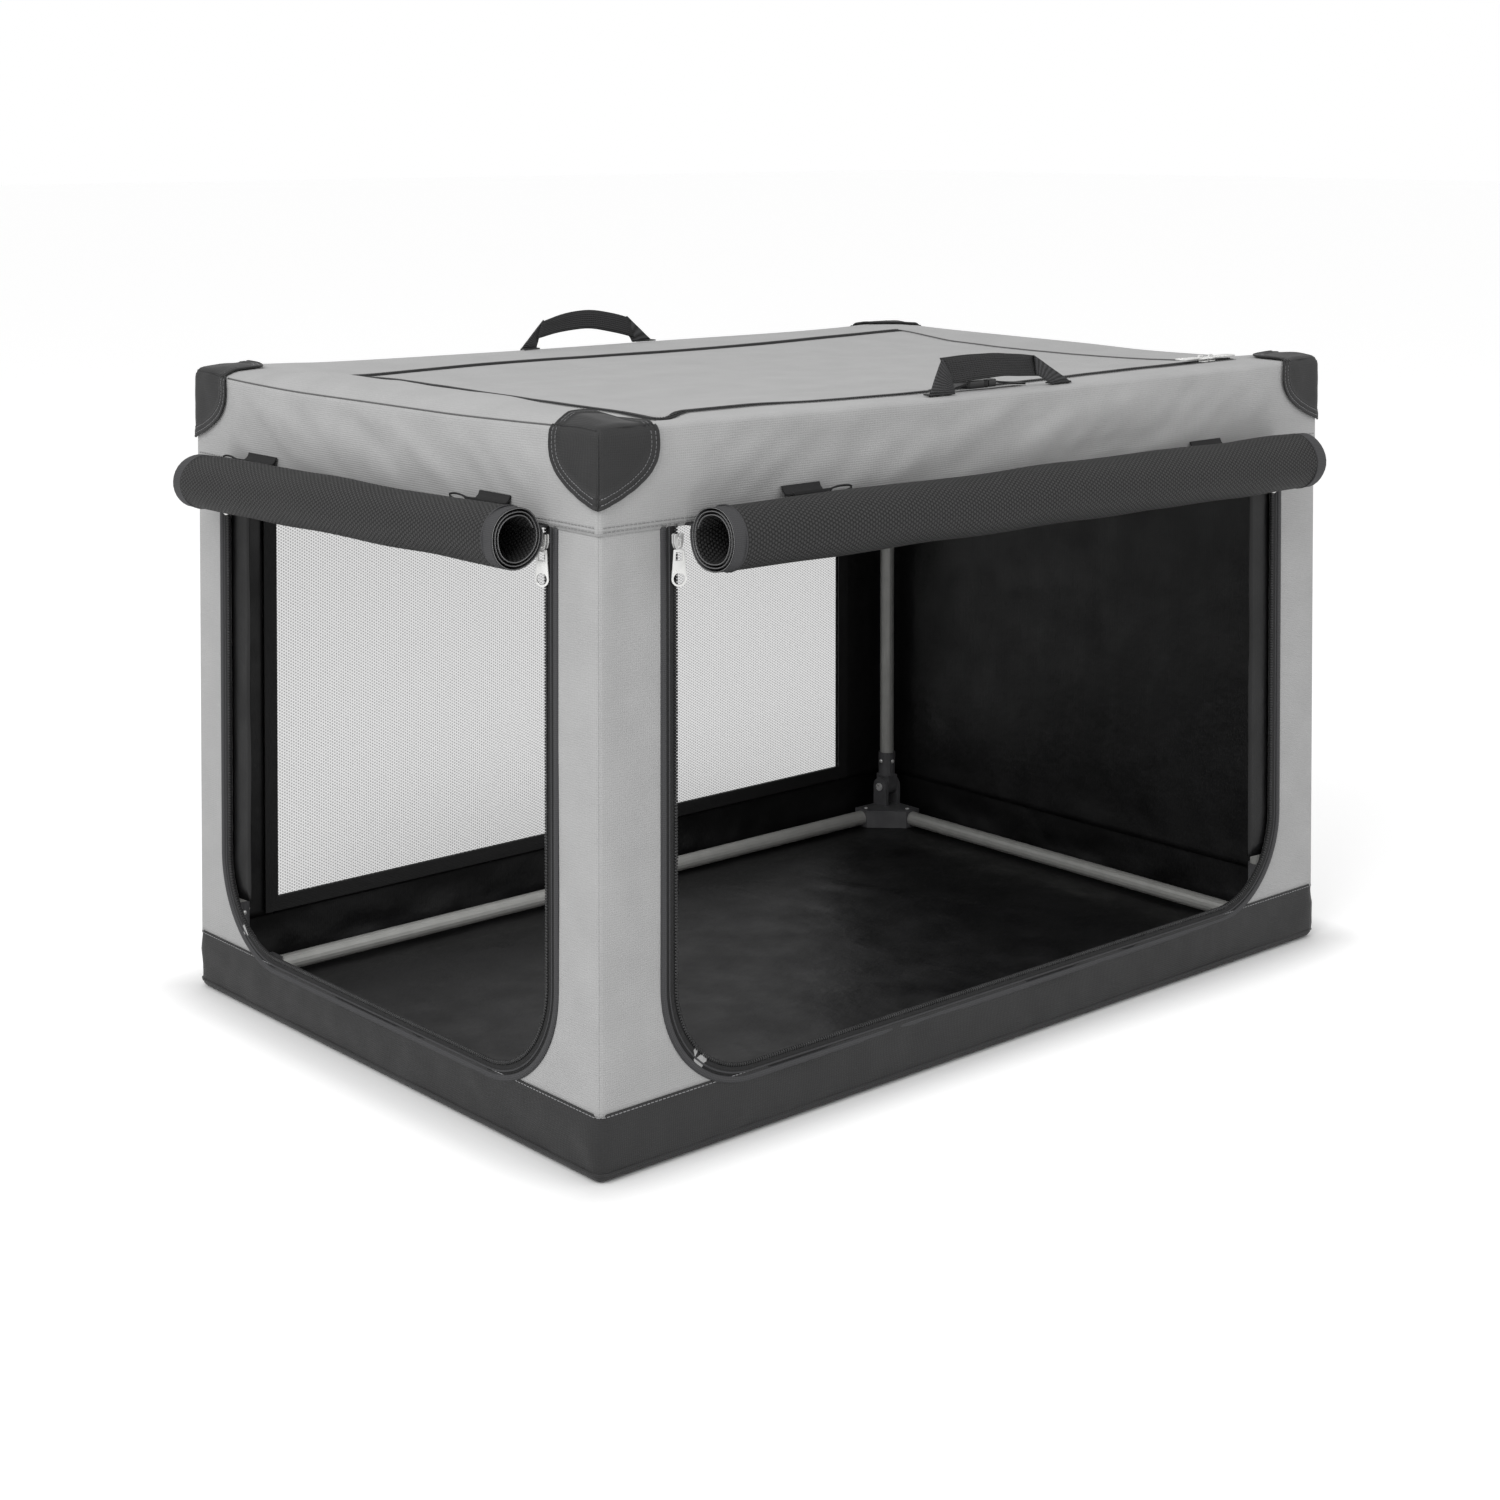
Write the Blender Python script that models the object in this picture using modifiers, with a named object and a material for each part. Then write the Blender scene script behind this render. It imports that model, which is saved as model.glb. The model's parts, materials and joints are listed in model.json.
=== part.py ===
# Soft-sided dog crate: sewn canvas panels over a tube frame that folds flat.
# X runs along the long side, Y across it with the long door at -Y, and Z is up. Metres.
import math

import bmesh
import bpy
from mathutils import Matrix, Vector

# Cover, outside
crate_length = 0.915
crate_width = 0.615
crate_height = 0.590
canvas = 0.002
seam_gap = 0.0003
base_height = 0.054
header_height = 0.085

# Front door opening, from the corners to the zip teeth
front_jamb_left = 0.077
front_jamb_right = 0.073
front_sill_height = 0.060
front_corner_radius = 0.080

# Left door opening
left_jamb_near = 0.066
left_jamb_far = 0.059
left_sill_height = 0.060
left_corner_radius = 0.080

# Rear window
window_margin = 0.078
window_bottom = 0.066
window_seam = 0.010
mesh_thickness = 0.0012

# Roof flap: insets of its zip line, its hinge seam and its corners
flap_zip_near = 0.051
flap_zip_far = 0.096
flap_zip_left = 0.106
flap_hinge_inset = 0.075
flap_corner_radius = 0.015
zip_track = 0.012

# Frame tubes and their sockets
tube_radius = 0.008
tube_wall = 0.001
tube_inset_x = 0.0255
tube_inset_y = 0.0285
socket_wall = 0.0018
socket_reach = 0.042
bore_clearance = 0.0002
tube_end_setback = 0.010

# Fold pivots: the wide rear frame folds down over the narrow front frame
front_pivot_height = 0.039
rear_pivot_height = 0.043
roof_to_rear_rail = 0.015
rail_step = 0.012
tongue_width = 0.014
tongue_radius = 0.010
ear_thickness = 0.004
ear_radius = 0.0105
ear_clearance = 0.0005
pin_radius = 0.0025
pin_head_radius = 0.0045
pin_head_height = 0.0018
foot_neck = 0.014
foot_floor = 0.002
foot_socket = 0.026
elbow_socket = 0.028
elbow_swell = 0.0004

# Flat side stays between the two frames' posts, lapped where they fold at their middle
stay_width = 0.012
stay_thickness = 0.0024
stay_clearance = 0.0006
stay_pin_radius = 0.0025

# Corner guards
guard_reach = 0.060
guard_thickness = 0.0015

# Rolled mesh doors, hung from the header seam
front_roll_radius = 0.028
front_roll_inset = 0.009
front_roll_overhang = 0.006
left_roll_radius = 0.026
left_roll_overhang_near = 0.005
left_roll_overhang_far = 0.001
roll_drop = 0.0085
roll_standoff = 0.0065
roll_sheet = 0.0012
roll_pitch = 0.0022
roll_turns = 3
roll_points_per_turn = 24

# Carry handles
handle_height = 0.036
handle_web = 0.024
handle_thickness = 0.002
handle_foot_width = 0.026
handle_span = 0.176
handle_slant = 0.018
handle_edge_inset = 0.008
handle_lift = 0.0005
handle_hinge_height = 0.0013

# Zip sliders and their pulls
slider_length = 0.012
slider_width = 0.009
slider_nose = 0.006
slider_thickness = 0.0045
slider_taper = 0.0048
slider_drop = 0.006
pull_length = 0.027
pull_root_width = 0.006
pull_tip_width = 0.009
pull_thickness = 0.0012
pull_hole_radius = 0.0027
pull_heel = 0.00065
pull_lift = 0.0025
roof_slider_inset = 0.112
roof_slider_spacing = 0.014
roof_slider_width = 0.0105
roof_slider_sink = 0.0025
roof_slider_proud = 0.004

# Side-release buckle on the roof behind the front handle
buckle_inset = 0.029
buckle_width = 0.018
buckle_height = 0.008
buckle_wall = 0.0015
socket_length = 0.026
plug_length = 0.012
prong_length = 0.016
prong_width = 0.004

tube_sides = 16
small_sides = 12
corner_steps = 8

# Places that follow from the sizes
half_length = crate_length / 2
half_width = crate_width / 2
front_door_left = -half_length + front_jamb_left
front_door_right = half_length - front_jamb_right
left_door_near = -half_width + left_jamb_near
left_door_far = half_width - left_jamb_far
wall_bottom = base_height + seam_gap
wall_top = crate_height - canvas - seam_gap
header_bottom = crate_height - header_height
roll_centre_height = header_bottom - roll_drop
socket_radius = tube_radius + socket_wall
bore_radius = tube_radius + bore_clearance
pin_bore_radius = pin_radius + bore_clearance
tube_height = canvas + seam_gap + socket_radius
tube_x = half_length - tube_inset_x
tube_y = half_width - tube_inset_y
elbow_radius = socket_radius + elbow_swell
frame_step = elbow_radius * 2 + stay_thickness * 2 + stay_clearance * 3
post_x = {-1: tube_x - frame_step, 1: tube_x}
pivot_height = {-1: front_pivot_height, 1: rear_pivot_height}
rear_rail_height = crate_height - roof_to_rear_rail
front_rail_height = rear_rail_height - rail_step
rail_height = {-1: front_rail_height, 1: rear_rail_height}
fork_half = tongue_width / 2 + ear_clearance + ear_thickness
stay_far = elbow_radius + stay_clearance + stay_thickness
stay_face = {-1: post_x[-1] + stay_far, 1: post_x[1] - stay_far}
stay_height = rear_rail_height - socket_radius - stay_clearance - stay_width / 2
roof_top = crate_height
flap_left = -half_length + flap_zip_left
flap_right = half_length - flap_hinge_inset
flap_front = -half_width + flap_zip_near
flap_rear = half_width - flap_zip_far
side_name = {-1: "left", 1: "right"}
row_name = {-1: "front", 1: "rear"}

X_AXIS = Vector((1, 0, 0))
Y_AXIS = Vector((0, 1, 0))
Z_AXIS = Vector((0, 0, 1))
# Columns carry a drawing's across, up and depth directions into the world
plane_turn = {
    "XY": Matrix((X_AXIS, Y_AXIS, Z_AXIS)).transposed(),
    "XZ": Matrix((X_AXIS, Z_AXIS, -Y_AXIS)).transposed(),
    "YZ": Matrix((Y_AXIS, Z_AXIS, X_AXIS)).transposed(),
}


def clear_scene():
    for item in list(bpy.data.objects):
        bpy.data.objects.remove(item, do_unlink=True)


def new_collection(name):
    group = bpy.data.collections.new(name)
    bpy.context.scene.collection.children.link(group)
    return group


def linear(channel):
    if channel <= 0.04045:
        return channel / 12.92
    return ((channel + 0.055) / 1.055) ** 2.4


def new_material(name, colour, roughness, metallic=0.0):
    material = bpy.data.materials.new(name)
    material.use_nodes = True
    shader = material.node_tree.nodes["Principled BSDF"]
    channels = [int(colour[i:i + 2], 16) / 255 for i in (0, 2, 4)]
    shader.inputs["Base Color"].default_value = [linear(c) for c in channels] + [1.0]
    shader.inputs["Roughness"].default_value = roughness
    shader.inputs["Metallic"].default_value = metallic
    return material


clear_scene()
parts = new_collection("canvas_dog_crate")
cutters = new_collection("cutters")
grey_canvas = new_material("grey_canvas", "A6A6A6", 0.9)
dark_canvas = new_material("dark_canvas", "3C3C3D", 0.85)
black_mesh = new_material("black_mesh", "2E2E2F", 0.8)
webbing = new_material("webbing", "262627", 0.8)
grey_tube = new_material("powder_coated_tube", "8E8E8C", 0.45, 0.3)
dark_plastic = new_material("dark_plastic", "48484A", 0.5)
steel = new_material("nickel_steel", "D8D8D8", 0.3, 1.0)


def place_mesh(name, shape, collection):
    bmesh.ops.recalc_face_normals(shape, faces=shape.faces)
    mesh = bpy.data.meshes.new(name)
    shape.to_mesh(mesh)
    shape.free()
    item = bpy.data.objects.new(name, mesh)
    collection.objects.link(item)
    return item


def make_part(name, shape, material):
    item = place_mesh(name, shape, parts)
    item.data.materials.append(material)
    return item


def make_cutter(shape):
    item = place_mesh("cutter", shape, cutters)
    item.hide_render = True
    item.display_type = "WIRE"
    return item


def change(item, shape, operation):
    modifier = item.modifiers.new(operation.lower(), "BOOLEAN")
    modifier.object = make_cutter(shape)
    modifier.operation = operation
    modifier.solver = "EXACT"


def add(item, shape):
    change(item, shape, "UNION")


def cut(item, shape):
    change(item, shape, "DIFFERENCE")


def box(low, high):
    low, high = Vector(low), Vector(high)
    shape = bmesh.new()
    bmesh.ops.create_cube(shape, size=1.0)
    bmesh.ops.scale(shape, vec=[abs(side) for side in high - low], verts=shape.verts)
    bmesh.ops.translate(shape, vec=(low + high) / 2, verts=shape.verts)
    return shape


def rod(start, end, radius, sides=tube_sides, capped=True):
    start, end = Vector(start), Vector(end)
    run = end - start
    shape = bmesh.new()
    bmesh.ops.create_cone(shape, cap_ends=capped, segments=sides, radius1=radius, radius2=radius,
                          depth=run.length)
    turn = Z_AXIS.rotation_difference(run).to_matrix()
    bmesh.ops.rotate(shape, cent=(0, 0, 0), matrix=turn, verts=shape.verts)
    bmesh.ops.translate(shape, vec=(start + end) / 2, verts=shape.verts)
    return shape


def ball(centre, radius):
    shape = bmesh.new()
    bmesh.ops.create_uvsphere(shape, u_segments=tube_sides, v_segments=small_sides, radius=radius)
    bmesh.ops.translate(shape, vec=centre, verts=shape.verts)
    return shape


def plate(outlines, thickness, plane, depth):
    # A flat outline, with any holes as further outlines, centred at a depth along its plane's normal
    curve = bpy.data.curves.new("outline", "CURVE")
    curve.dimensions = "2D"
    curve.fill_mode = "BOTH"
    curve.extrude = thickness / 2
    for outline in outlines:
        spline = curve.splines.new("POLY")
        spline.points.add(len(outline) - 1)
        for point, (across, up) in zip(spline.points, outline):
            point.co = (across, up, 0, 1)
        spline.use_cyclic_u = True
    drawing = bpy.data.objects.new("outline", curve)
    cutters.objects.link(drawing)
    view = bpy.context.evaluated_depsgraph_get()
    mesh = bpy.data.meshes.new_from_object(drawing.evaluated_get(view))
    shape = bmesh.new()
    shape.from_mesh(mesh)
    bpy.data.objects.remove(drawing)
    bmesh.ops.remove_doubles(shape, verts=shape.verts, dist=0.000001)
    bmesh.ops.rotate(shape, cent=(0, 0, 0), matrix=plane_turn[plane], verts=shape.verts)
    normal = {"XY": Z_AXIS, "XZ": Y_AXIS, "YZ": X_AXIS}[plane]
    bmesh.ops.translate(shape, vec=normal * depth, verts=shape.verts)
    return shape


def arc(across, up, radius, start, end, steps=corner_steps):
    angles = [math.radians(start + (end - start) * i / steps) for i in range(steps + 1)]
    return [(across + radius * math.cos(a), up + radius * math.sin(a)) for a in angles]


def rectangle(low_u, low_v, high_u, high_v):
    return [(low_u, low_v), (high_u, low_v), (high_u, high_v), (low_u, high_v)]


def door_hole(low_u, low_v, high_u, high_v, radius):
    # Square at the header, round at both lower corners
    left = arc(low_u + radius, low_v + radius, radius, 180, 270)
    right = arc(high_u - radius, low_v + radius, radius, 270, 360)
    return left + right + [(high_u, high_v), (low_u, high_v)]


def zip_outline(left, right, front, rear, radius):
    # Round at the two corners that the roof zip turns
    near = arc(left + radius, front + radius, radius, 180, 270)
    far = arc(left + radius, rear - radius, radius, 90, 180)
    return near + [(right, front), (right, rear)] + far


def stadium(across, low, up, radius):
    return [(across - radius, low), (across + radius, low)] + arc(across, up, radius, 0, 180)


def ribbon(line, thickness):
    # Both sides of a strip of cloth whose middle follows a line
    near, far = [], []
    for i, point in enumerate(line):
        before = Vector(line[max(i - 1, 0)])
        after = Vector(line[min(i + 1, len(line) - 1)])
        along = (after - before).normalized()
        side = Vector((-along.y, along.x)) * thickness / 2
        near.append(tuple(Vector(point) + side))
        far.append(tuple(Vector(point) - side))
    return near + far[::-1]


def make_tube(name, start, end, radius, wall, material):
    item = make_part(name, rod(start, end, radius, capped=False), material)
    skin = item.modifiers.new("wall", "SOLIDIFY")
    skin.thickness = wall
    skin.offset = -1
    skin.use_even_offset = True
    item.data.shade_smooth()
    return item


def pivot(name, location):
    empty = bpy.data.objects.new(name, None)
    empty.location = location
    parts.objects.link(empty)
    return empty


def hang(items, empty):
    inverse = Matrix.Translation(empty.location).inverted()
    for item in items:
        item.parent = empty
        item.matrix_parent_inverse = inverse


def make_base_tray():
    shape = box((-half_length, -half_width, 0), (half_length, half_width, base_height))
    lid = max(shape.faces, key=lambda face: face.calc_center_median().z)
    bmesh.ops.delete(shape, geom=[lid], context="FACES_ONLY")
    mesh = bpy.data.meshes.new("base_tray")
    shape.to_mesh(mesh)
    shape.free()
    tray = bpy.data.objects.new("base_tray", mesh)
    parts.objects.link(tray)
    mesh.materials.append(dark_canvas)
    cloth = tray.modifiers.new("cloth", "SOLIDIFY")
    cloth.thickness = canvas
    cloth.offset = -1
    cloth.use_even_offset = True


def make_walls():
    outer = rectangle(-half_length, wall_bottom, half_length, wall_top)
    door = door_hole(front_door_left, front_sill_height, front_door_right, header_bottom,
                     front_corner_radius)
    front = plate([outer, door], canvas, "XZ", -half_width + canvas / 2)
    make_part("front_wall", front, grey_canvas)
    window = rectangle(-half_length + window_margin, window_bottom,
                       half_length - window_margin, header_bottom)
    rear = plate([outer, window], canvas, "XZ", half_width - canvas / 2)
    make_part("rear_wall", rear, grey_canvas)

    side_half = half_width - canvas - seam_gap
    side = rectangle(-side_half, wall_bottom, side_half, wall_top)
    side_door = door_hole(left_door_near, left_sill_height, left_door_far, header_bottom,
                          left_corner_radius)
    left = plate([side, side_door], canvas, "YZ", -half_length + canvas / 2)
    make_part("left_wall", left, grey_canvas)
    right = plate([side], canvas, "YZ", half_length - canvas / 2)
    make_part("right_wall", right, grey_canvas)


def make_window_mesh():
    pane = rectangle(-half_length + window_margin - window_seam, window_bottom - window_seam,
                     half_length - window_margin + window_seam, header_bottom + window_seam)
    depth = half_width - canvas - seam_gap - mesh_thickness / 2
    make_part("rear_window_mesh", plate([pane], mesh_thickness, "XZ", depth), black_mesh)


def make_roof():
    track = zip_track / 2
    hole = zip_outline(flap_left - track, flap_right, flap_front - track, flap_rear + track,
                       flap_corner_radius + track)
    outer = rectangle(-half_length, -half_width, half_length, half_width)
    border = plate([outer, hole], canvas, "XY", roof_top - canvas / 2)
    make_part("roof_border", border, grey_canvas)
    cloth = zip_outline(flap_left + track, flap_right - seam_gap, flap_front + track,
                        flap_rear - track, flap_corner_radius)
    flap = make_part("roof_flap", plate([cloth], canvas, "XY", roof_top - canvas / 2), grey_canvas)
    hang([flap], pivot("roof_flap_hinge", (flap_right, 0, roof_top)))


def make_corner_guard(side, row):
    corner = Vector((side * half_length, row * half_width, roof_top))
    outward = Vector((side, row, 1))
    skin = outward * (seam_gap + guard_thickness)
    name = "corner_guard_" + row_name[row] + "_" + side_name[side]
    past = outward * guard_reach * 2
    guard = make_part(name, box(corner + skin, corner - past), dark_canvas)
    cut(guard, box(corner + outward * seam_gap, corner - past * 2))
    change(guard, ball(corner, guard_reach), "INTERSECT")


def make_base_tubes():
    x_end = tube_x - tube_end_setback
    y_end = tube_y - tube_end_setback
    for row in (-1, 1):
        y = row * tube_y
        make_tube("base_tube_" + row_name[row], (-x_end, y, tube_height), (x_end, y, tube_height),
                  tube_radius, tube_wall, grey_tube)
    for side in (-1, 1):
        x = side * tube_x
        make_tube("base_tube_" + side_name[side], (x, -y_end, tube_height), (x, y_end, tube_height),
                  tube_radius, tube_wall, grey_tube)


def make_base_corner(side, row):
    # Socket block with a slanted inner face, and two ears that carry the post's pin
    ear_x = side * post_x[row]
    y = row * tube_y
    z = pivot_height[row]
    outer = max(socket_radius, post_x[row] + fork_half - tube_x)
    block = [(-outer, -socket_radius), (socket_reach, -socket_radius), (socket_reach, socket_radius),
             (socket_radius, socket_reach), (-outer, socket_reach)]
    outline = [(side * (tube_x - a), row * (tube_y - b)) for a, b in block]
    name = "base_corner_" + row_name[row] + "_" + side_name[side]
    corner = make_part(name, plate([outline], socket_radius * 2, "XY", tube_height), dark_plastic)
    ear = [stadium(y, tube_height, z, ear_radius)]
    for way in (-1, 1):
        add(corner, plate(ear, ear_thickness, "YZ", ear_x + way * (fork_half - ear_thickness / 2)))
    inner = tube_end_setback - seam_gap
    past = socket_reach * 2
    cut(corner, rod((side * (tube_x - inner), y, tube_height),
                    (side * (tube_x - past), y, tube_height), bore_radius))
    cut(corner, rod((side * tube_x, row * (tube_y - inner), tube_height),
                    (side * tube_x, row * (tube_y - past), tube_height), bore_radius))
    cut(corner, rod((ear_x - fork_half * 2, y, z), (ear_x + fork_half * 2, y, z),
                    pin_bore_radius, small_sides))


def make_pivot_pin(side, row):
    # Headed at both ends, turned from a half profile
    reach = fork_half + seam_gap
    profile = [(0, reach + pin_head_height), (pin_head_radius, reach + pin_head_height),
               (pin_head_radius, reach), (pin_radius, reach), (pin_radius, -reach),
               (pin_head_radius, -reach), (pin_head_radius, -reach - pin_head_height),
               (0, -reach - pin_head_height)]
    shape = bmesh.new()
    corners = [shape.verts.new((r, 0, h)) for r, h in profile]
    for first, second in zip(corners, corners[1:]):
        shape.edges.new((first, second))
    name = "pivot_pin_" + row_name[row] + "_" + side_name[side]
    mesh = bpy.data.meshes.new(name)
    shape.to_mesh(mesh)
    shape.free()
    pin = bpy.data.objects.new(name, mesh)
    parts.objects.link(pin)
    mesh.materials.append(steel)
    turning = pin.modifiers.new("turning", "SCREW")
    turning.steps = small_sides
    turning.render_steps = small_sides
    turning.use_merge_vertices = True
    turning.merge_threshold = 0.00001
    pin.location = (side * post_x[row], row * tube_y, pivot_height[row])
    pin.rotation_euler = (0, math.pi / 2, 0)


def make_foot(side, row):
    x, y, z = side * post_x[row], row * tube_y, pivot_height[row]
    top = z + foot_neck
    name = "post_foot_" + row_name[row] + "_" + side_name[side]
    tongue = [(y + a, z - u) for a, u in stadium(0, -foot_neck, 0, tongue_radius)]
    foot = make_part(name, plate([tongue], tongue_width, "YZ", x), dark_plastic)
    add(foot, rod((x, y, top - tube_wall), (x, y, top + foot_socket), socket_radius))
    cut(foot, rod((x, y, top + foot_floor), (x, y, top + foot_socket * 2), bore_radius))
    cut(foot, rod((x - tongue_width, y, z), (x + tongue_width, y, z), pin_bore_radius, small_sides))
    return foot


def make_post(side, row):
    x, y = side * post_x[row], row * tube_y
    bottom = pivot_height[row] + foot_neck + foot_floor + seam_gap
    top = rail_height[row] - tube_end_setback
    name = "post_" + row_name[row] + "_" + side_name[side]
    return make_tube(name, (x, y, bottom), (x, y, top), tube_radius, tube_wall, grey_tube)


def make_rail(row):
    end = post_x[row] - tube_end_setback
    y, z = row * tube_y, rail_height[row]
    return make_tube(row_name[row] + "_rail", (-end, y, z), (end, y, z), tube_radius, tube_wall,
                     grey_tube)


def make_top_corner(side, row):
    x, y, z = side * post_x[row], row * tube_y, rail_height[row]
    name = "top_corner_" + row_name[row] + "_" + side_name[side]
    corner = make_part(name, ball((x, y, z), elbow_radius), dark_plastic)
    add(corner, rod((x, y, z), (x, y, z - elbow_socket), socket_radius))
    add(corner, rod((x, y, z), (x - side * elbow_socket, y, z), socket_radius))
    # The stay's pin starts inside the socket's wall and ends flush with the stay
    root = side * (post_x[row] - row * (bore_radius + socket_radius) / 2)
    add(corner, rod((root, y, stay_height), (side * stay_face[row], y, stay_height),
                    stay_pin_radius, small_sides))
    inner = tube_end_setback - seam_gap
    past = elbow_socket * 2
    cut(corner, rod((x, y, z - inner), (x, y, z - past), bore_radius))
    cut(corner, rod((x - side * inner, y, z), (x - side * past, y, z), bore_radius))
    return corner


def make_stay(side, row):
    # A flat link from its top corner's pin to the middle of the crate, where the other one laps it
    y, z, end = row * tube_y, stay_height, stay_width / 2
    low, high = sorted((y, 0))
    outline = arc(low, z, end, 90, 270) + arc(high, z, end, 270, 450)
    holes = [arc(across, z, stay_pin_radius + bore_clearance, 0, 360 - 360 / small_sides,
                 small_sides - 1) for across in (y, 0)]
    x = side * (stay_face[row] + row * stay_thickness / 2)
    name = "stay_" + row_name[row] + "_" + side_name[side]
    stay = make_part(name, plate([outline] + holes, stay_thickness, "YZ", x), grey_tube)
    hinge = pivot(name + "_hinge", (x, y, z))
    hang([stay], hinge)
    return hinge


def make_frame(row):
    held = [make_rail(row)]
    for side in (-1, 1):
        make_base_corner(side, row)
        make_pivot_pin(side, row)
        held += [make_foot(side, row), make_post(side, row), make_top_corner(side, row),
                 make_stay(side, row)]
    hang(held, pivot(row_name[row] + "_frame_pivot", (0, row * tube_y, pivot_height[row])))


def roll_line(wall, centre, radius):
    # Leaves the header seam level, meets the roll behind it and winds in at a steady rate
    line = [(wall - roll_sheet / 2, header_bottom)]
    lead = math.asin(roll_drop / (radius - roll_sheet / 2))
    for i in range(roll_turns * roll_points_per_turn + 1):
        turn = i / roll_points_per_turn
        reach = radius - roll_sheet / 2 - roll_pitch * turn
        angle = turn * math.tau - lead
        line.append((centre + reach * math.cos(angle),
                     roll_centre_height - reach * math.sin(angle)))
    return line


def least_gap(line):
    least = roll_pitch * roll_turns
    for i in range(1, len(line) - roll_points_per_turn // 2):
        for j in range(i + roll_points_per_turn // 2, len(line)):
            least = min(least, (Vector(line[i]) - Vector(line[j])).length - roll_sheet)
    return least


def make_roll(name, plane, face, radius, start, end):
    wall = -face - seam_gap
    centre = wall - roll_standoff - radius
    line = roll_line(wall, centre, radius)
    print(name, "least gap between turns, mm:", round(least_gap(line) * 1000, 2))
    shape = plate([ribbon(line, roll_sheet)], end - start, plane, (start + end) / 2)
    make_part(name, shape, black_mesh)


def make_handle(row):
    half = handle_span / 2
    low = roof_top + handle_lift
    top = low + handle_height
    under = top - handle_web
    lean = handle_slant * (handle_height - handle_web) / handle_height
    foot = half - handle_foot_width
    outline = [(-half, low), (-half + handle_slant, top), (half - handle_slant, top), (half, low),
               (foot, low), (foot - lean, under), (-foot + lean, under), (-foot, low)]
    y = row * (half_width - handle_edge_inset)
    name = row_name[row] + "_handle"
    handle = make_part(name, plate([outline], handle_thickness, "XZ", y), webbing)
    hang([handle], pivot(name + "_hinge", (0, y, low + handle_hinge_height)))


def slider_outline(width):
    # Wide where the two teeth rows part, narrow at the nose that carries the pull
    return [(-slider_nose / 2, 0), (slider_nose / 2, 0), (width / 2, slider_taper),
            (width / 2, slider_length), (-width / 2, slider_length), (-width / 2, slider_taper)]


def pull_outlines():
    # From the hinged end at zero along to the round tip, with the finger hole near the tip
    tip = pull_tip_width / 2
    along = pull_length - tip
    edge = [(-pull_root_width / 2, 0), (pull_root_width / 2, 0)]
    edge += [(a, b) for a, b in arc(0, along, tip, 0, 180)]
    return [edge, arc(0, along, pull_hole_radius, 0, 360 - 360 / small_sides, small_sides - 1)]


def make_door_slider(name, plane, across, wall):
    top = header_bottom - slider_drop
    nose = top - slider_length
    body = [(across + a, nose + b) for a, b in slider_outline(slider_width)]
    depth = wall - seam_gap - slider_thickness / 2
    slider = make_part(name + "_slider", plate([body], slider_thickness, plane, depth), steel)
    hinge = nose - seam_gap - pull_heel
    outlines = [[(across + a, hinge + pull_heel - b) for a, b in line] for line in pull_outlines()]
    pull_depth = wall - pull_lift
    pull = make_part(name + "_pull", plate(outlines, pull_thickness, plane, pull_depth), steel)
    if plane == "XZ":
        joint = pivot(name + "_pull_hinge", (across, pull_depth, hinge))
        slide = pivot(name + "_slide", (across, wall, top))
    else:
        joint = pivot(name + "_pull_hinge", (pull_depth, across, hinge))
        slide = pivot(name + "_slide", (wall, across, top))
    hang([pull], joint)
    hang([slider, joint], slide)


def make_roof_slider(side):
    # The two sliders meet back to back, so their pulls point away from each other
    name = "roof_" + side_name[side]
    meet = half_length - roof_slider_inset
    inner = meet + side * (roof_slider_spacing - slider_length) / 2
    nose = inner + side * slider_length
    body = [(nose - side * b, flap_front + a) for a, b in slider_outline(roof_slider_width)]
    low, high = roof_top - roof_slider_sink, roof_top + roof_slider_proud
    slider = make_part(name + "_slider", plate([body], high - low, "XY", (low + high) / 2), steel)
    hinge = nose + side * (seam_gap + pull_heel)
    outlines = [[(hinge + side * (b - pull_heel), flap_front + a) for a, b in line]
                for line in pull_outlines()]
    height = roof_top + pull_lift
    pull = make_part(name + "_pull", plate(outlines, pull_thickness, "XY", height), steel)
    joint = pivot(name + "_pull_hinge", (hinge, flap_front, height))
    hang([pull], joint)
    hang([slider, joint], pivot(name + "_slide", (inner, flap_front, roof_top)))


def make_buckle():
    y = -half_width + buckle_inset
    low = roof_top + seam_gap
    mid = low + buckle_height / 2
    half_w, half_h = buckle_width / 2, buckle_height / 2
    socket = make_part("buckle_socket", box((-socket_length, y - half_w, low),
                                            (0, y + half_w, low + buckle_height)), dark_plastic)
    cave_w, cave_h = half_w - buckle_wall, half_h - buckle_wall
    depth = prong_length + buckle_wall
    cut(socket, box((-depth, y - cave_w, mid - cave_h), (buckle_wall, y + cave_w, mid + cave_h)))
    plug = make_part("buckle_plug", box((seam_gap, y - half_w, low),
                                        (plug_length, y + half_w, low + buckle_height)), dark_plastic)
    prong_h = cave_h - seam_gap
    for way in (-1, 1):
        outer = y + way * (cave_w - seam_gap)
        add(plug, box((-prong_length, outer, mid - prong_h),
                      (buckle_wall, outer - way * prong_width, mid + prong_h)))
    hang([plug], pivot("buckle_release", (0, y, mid)))


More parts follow.
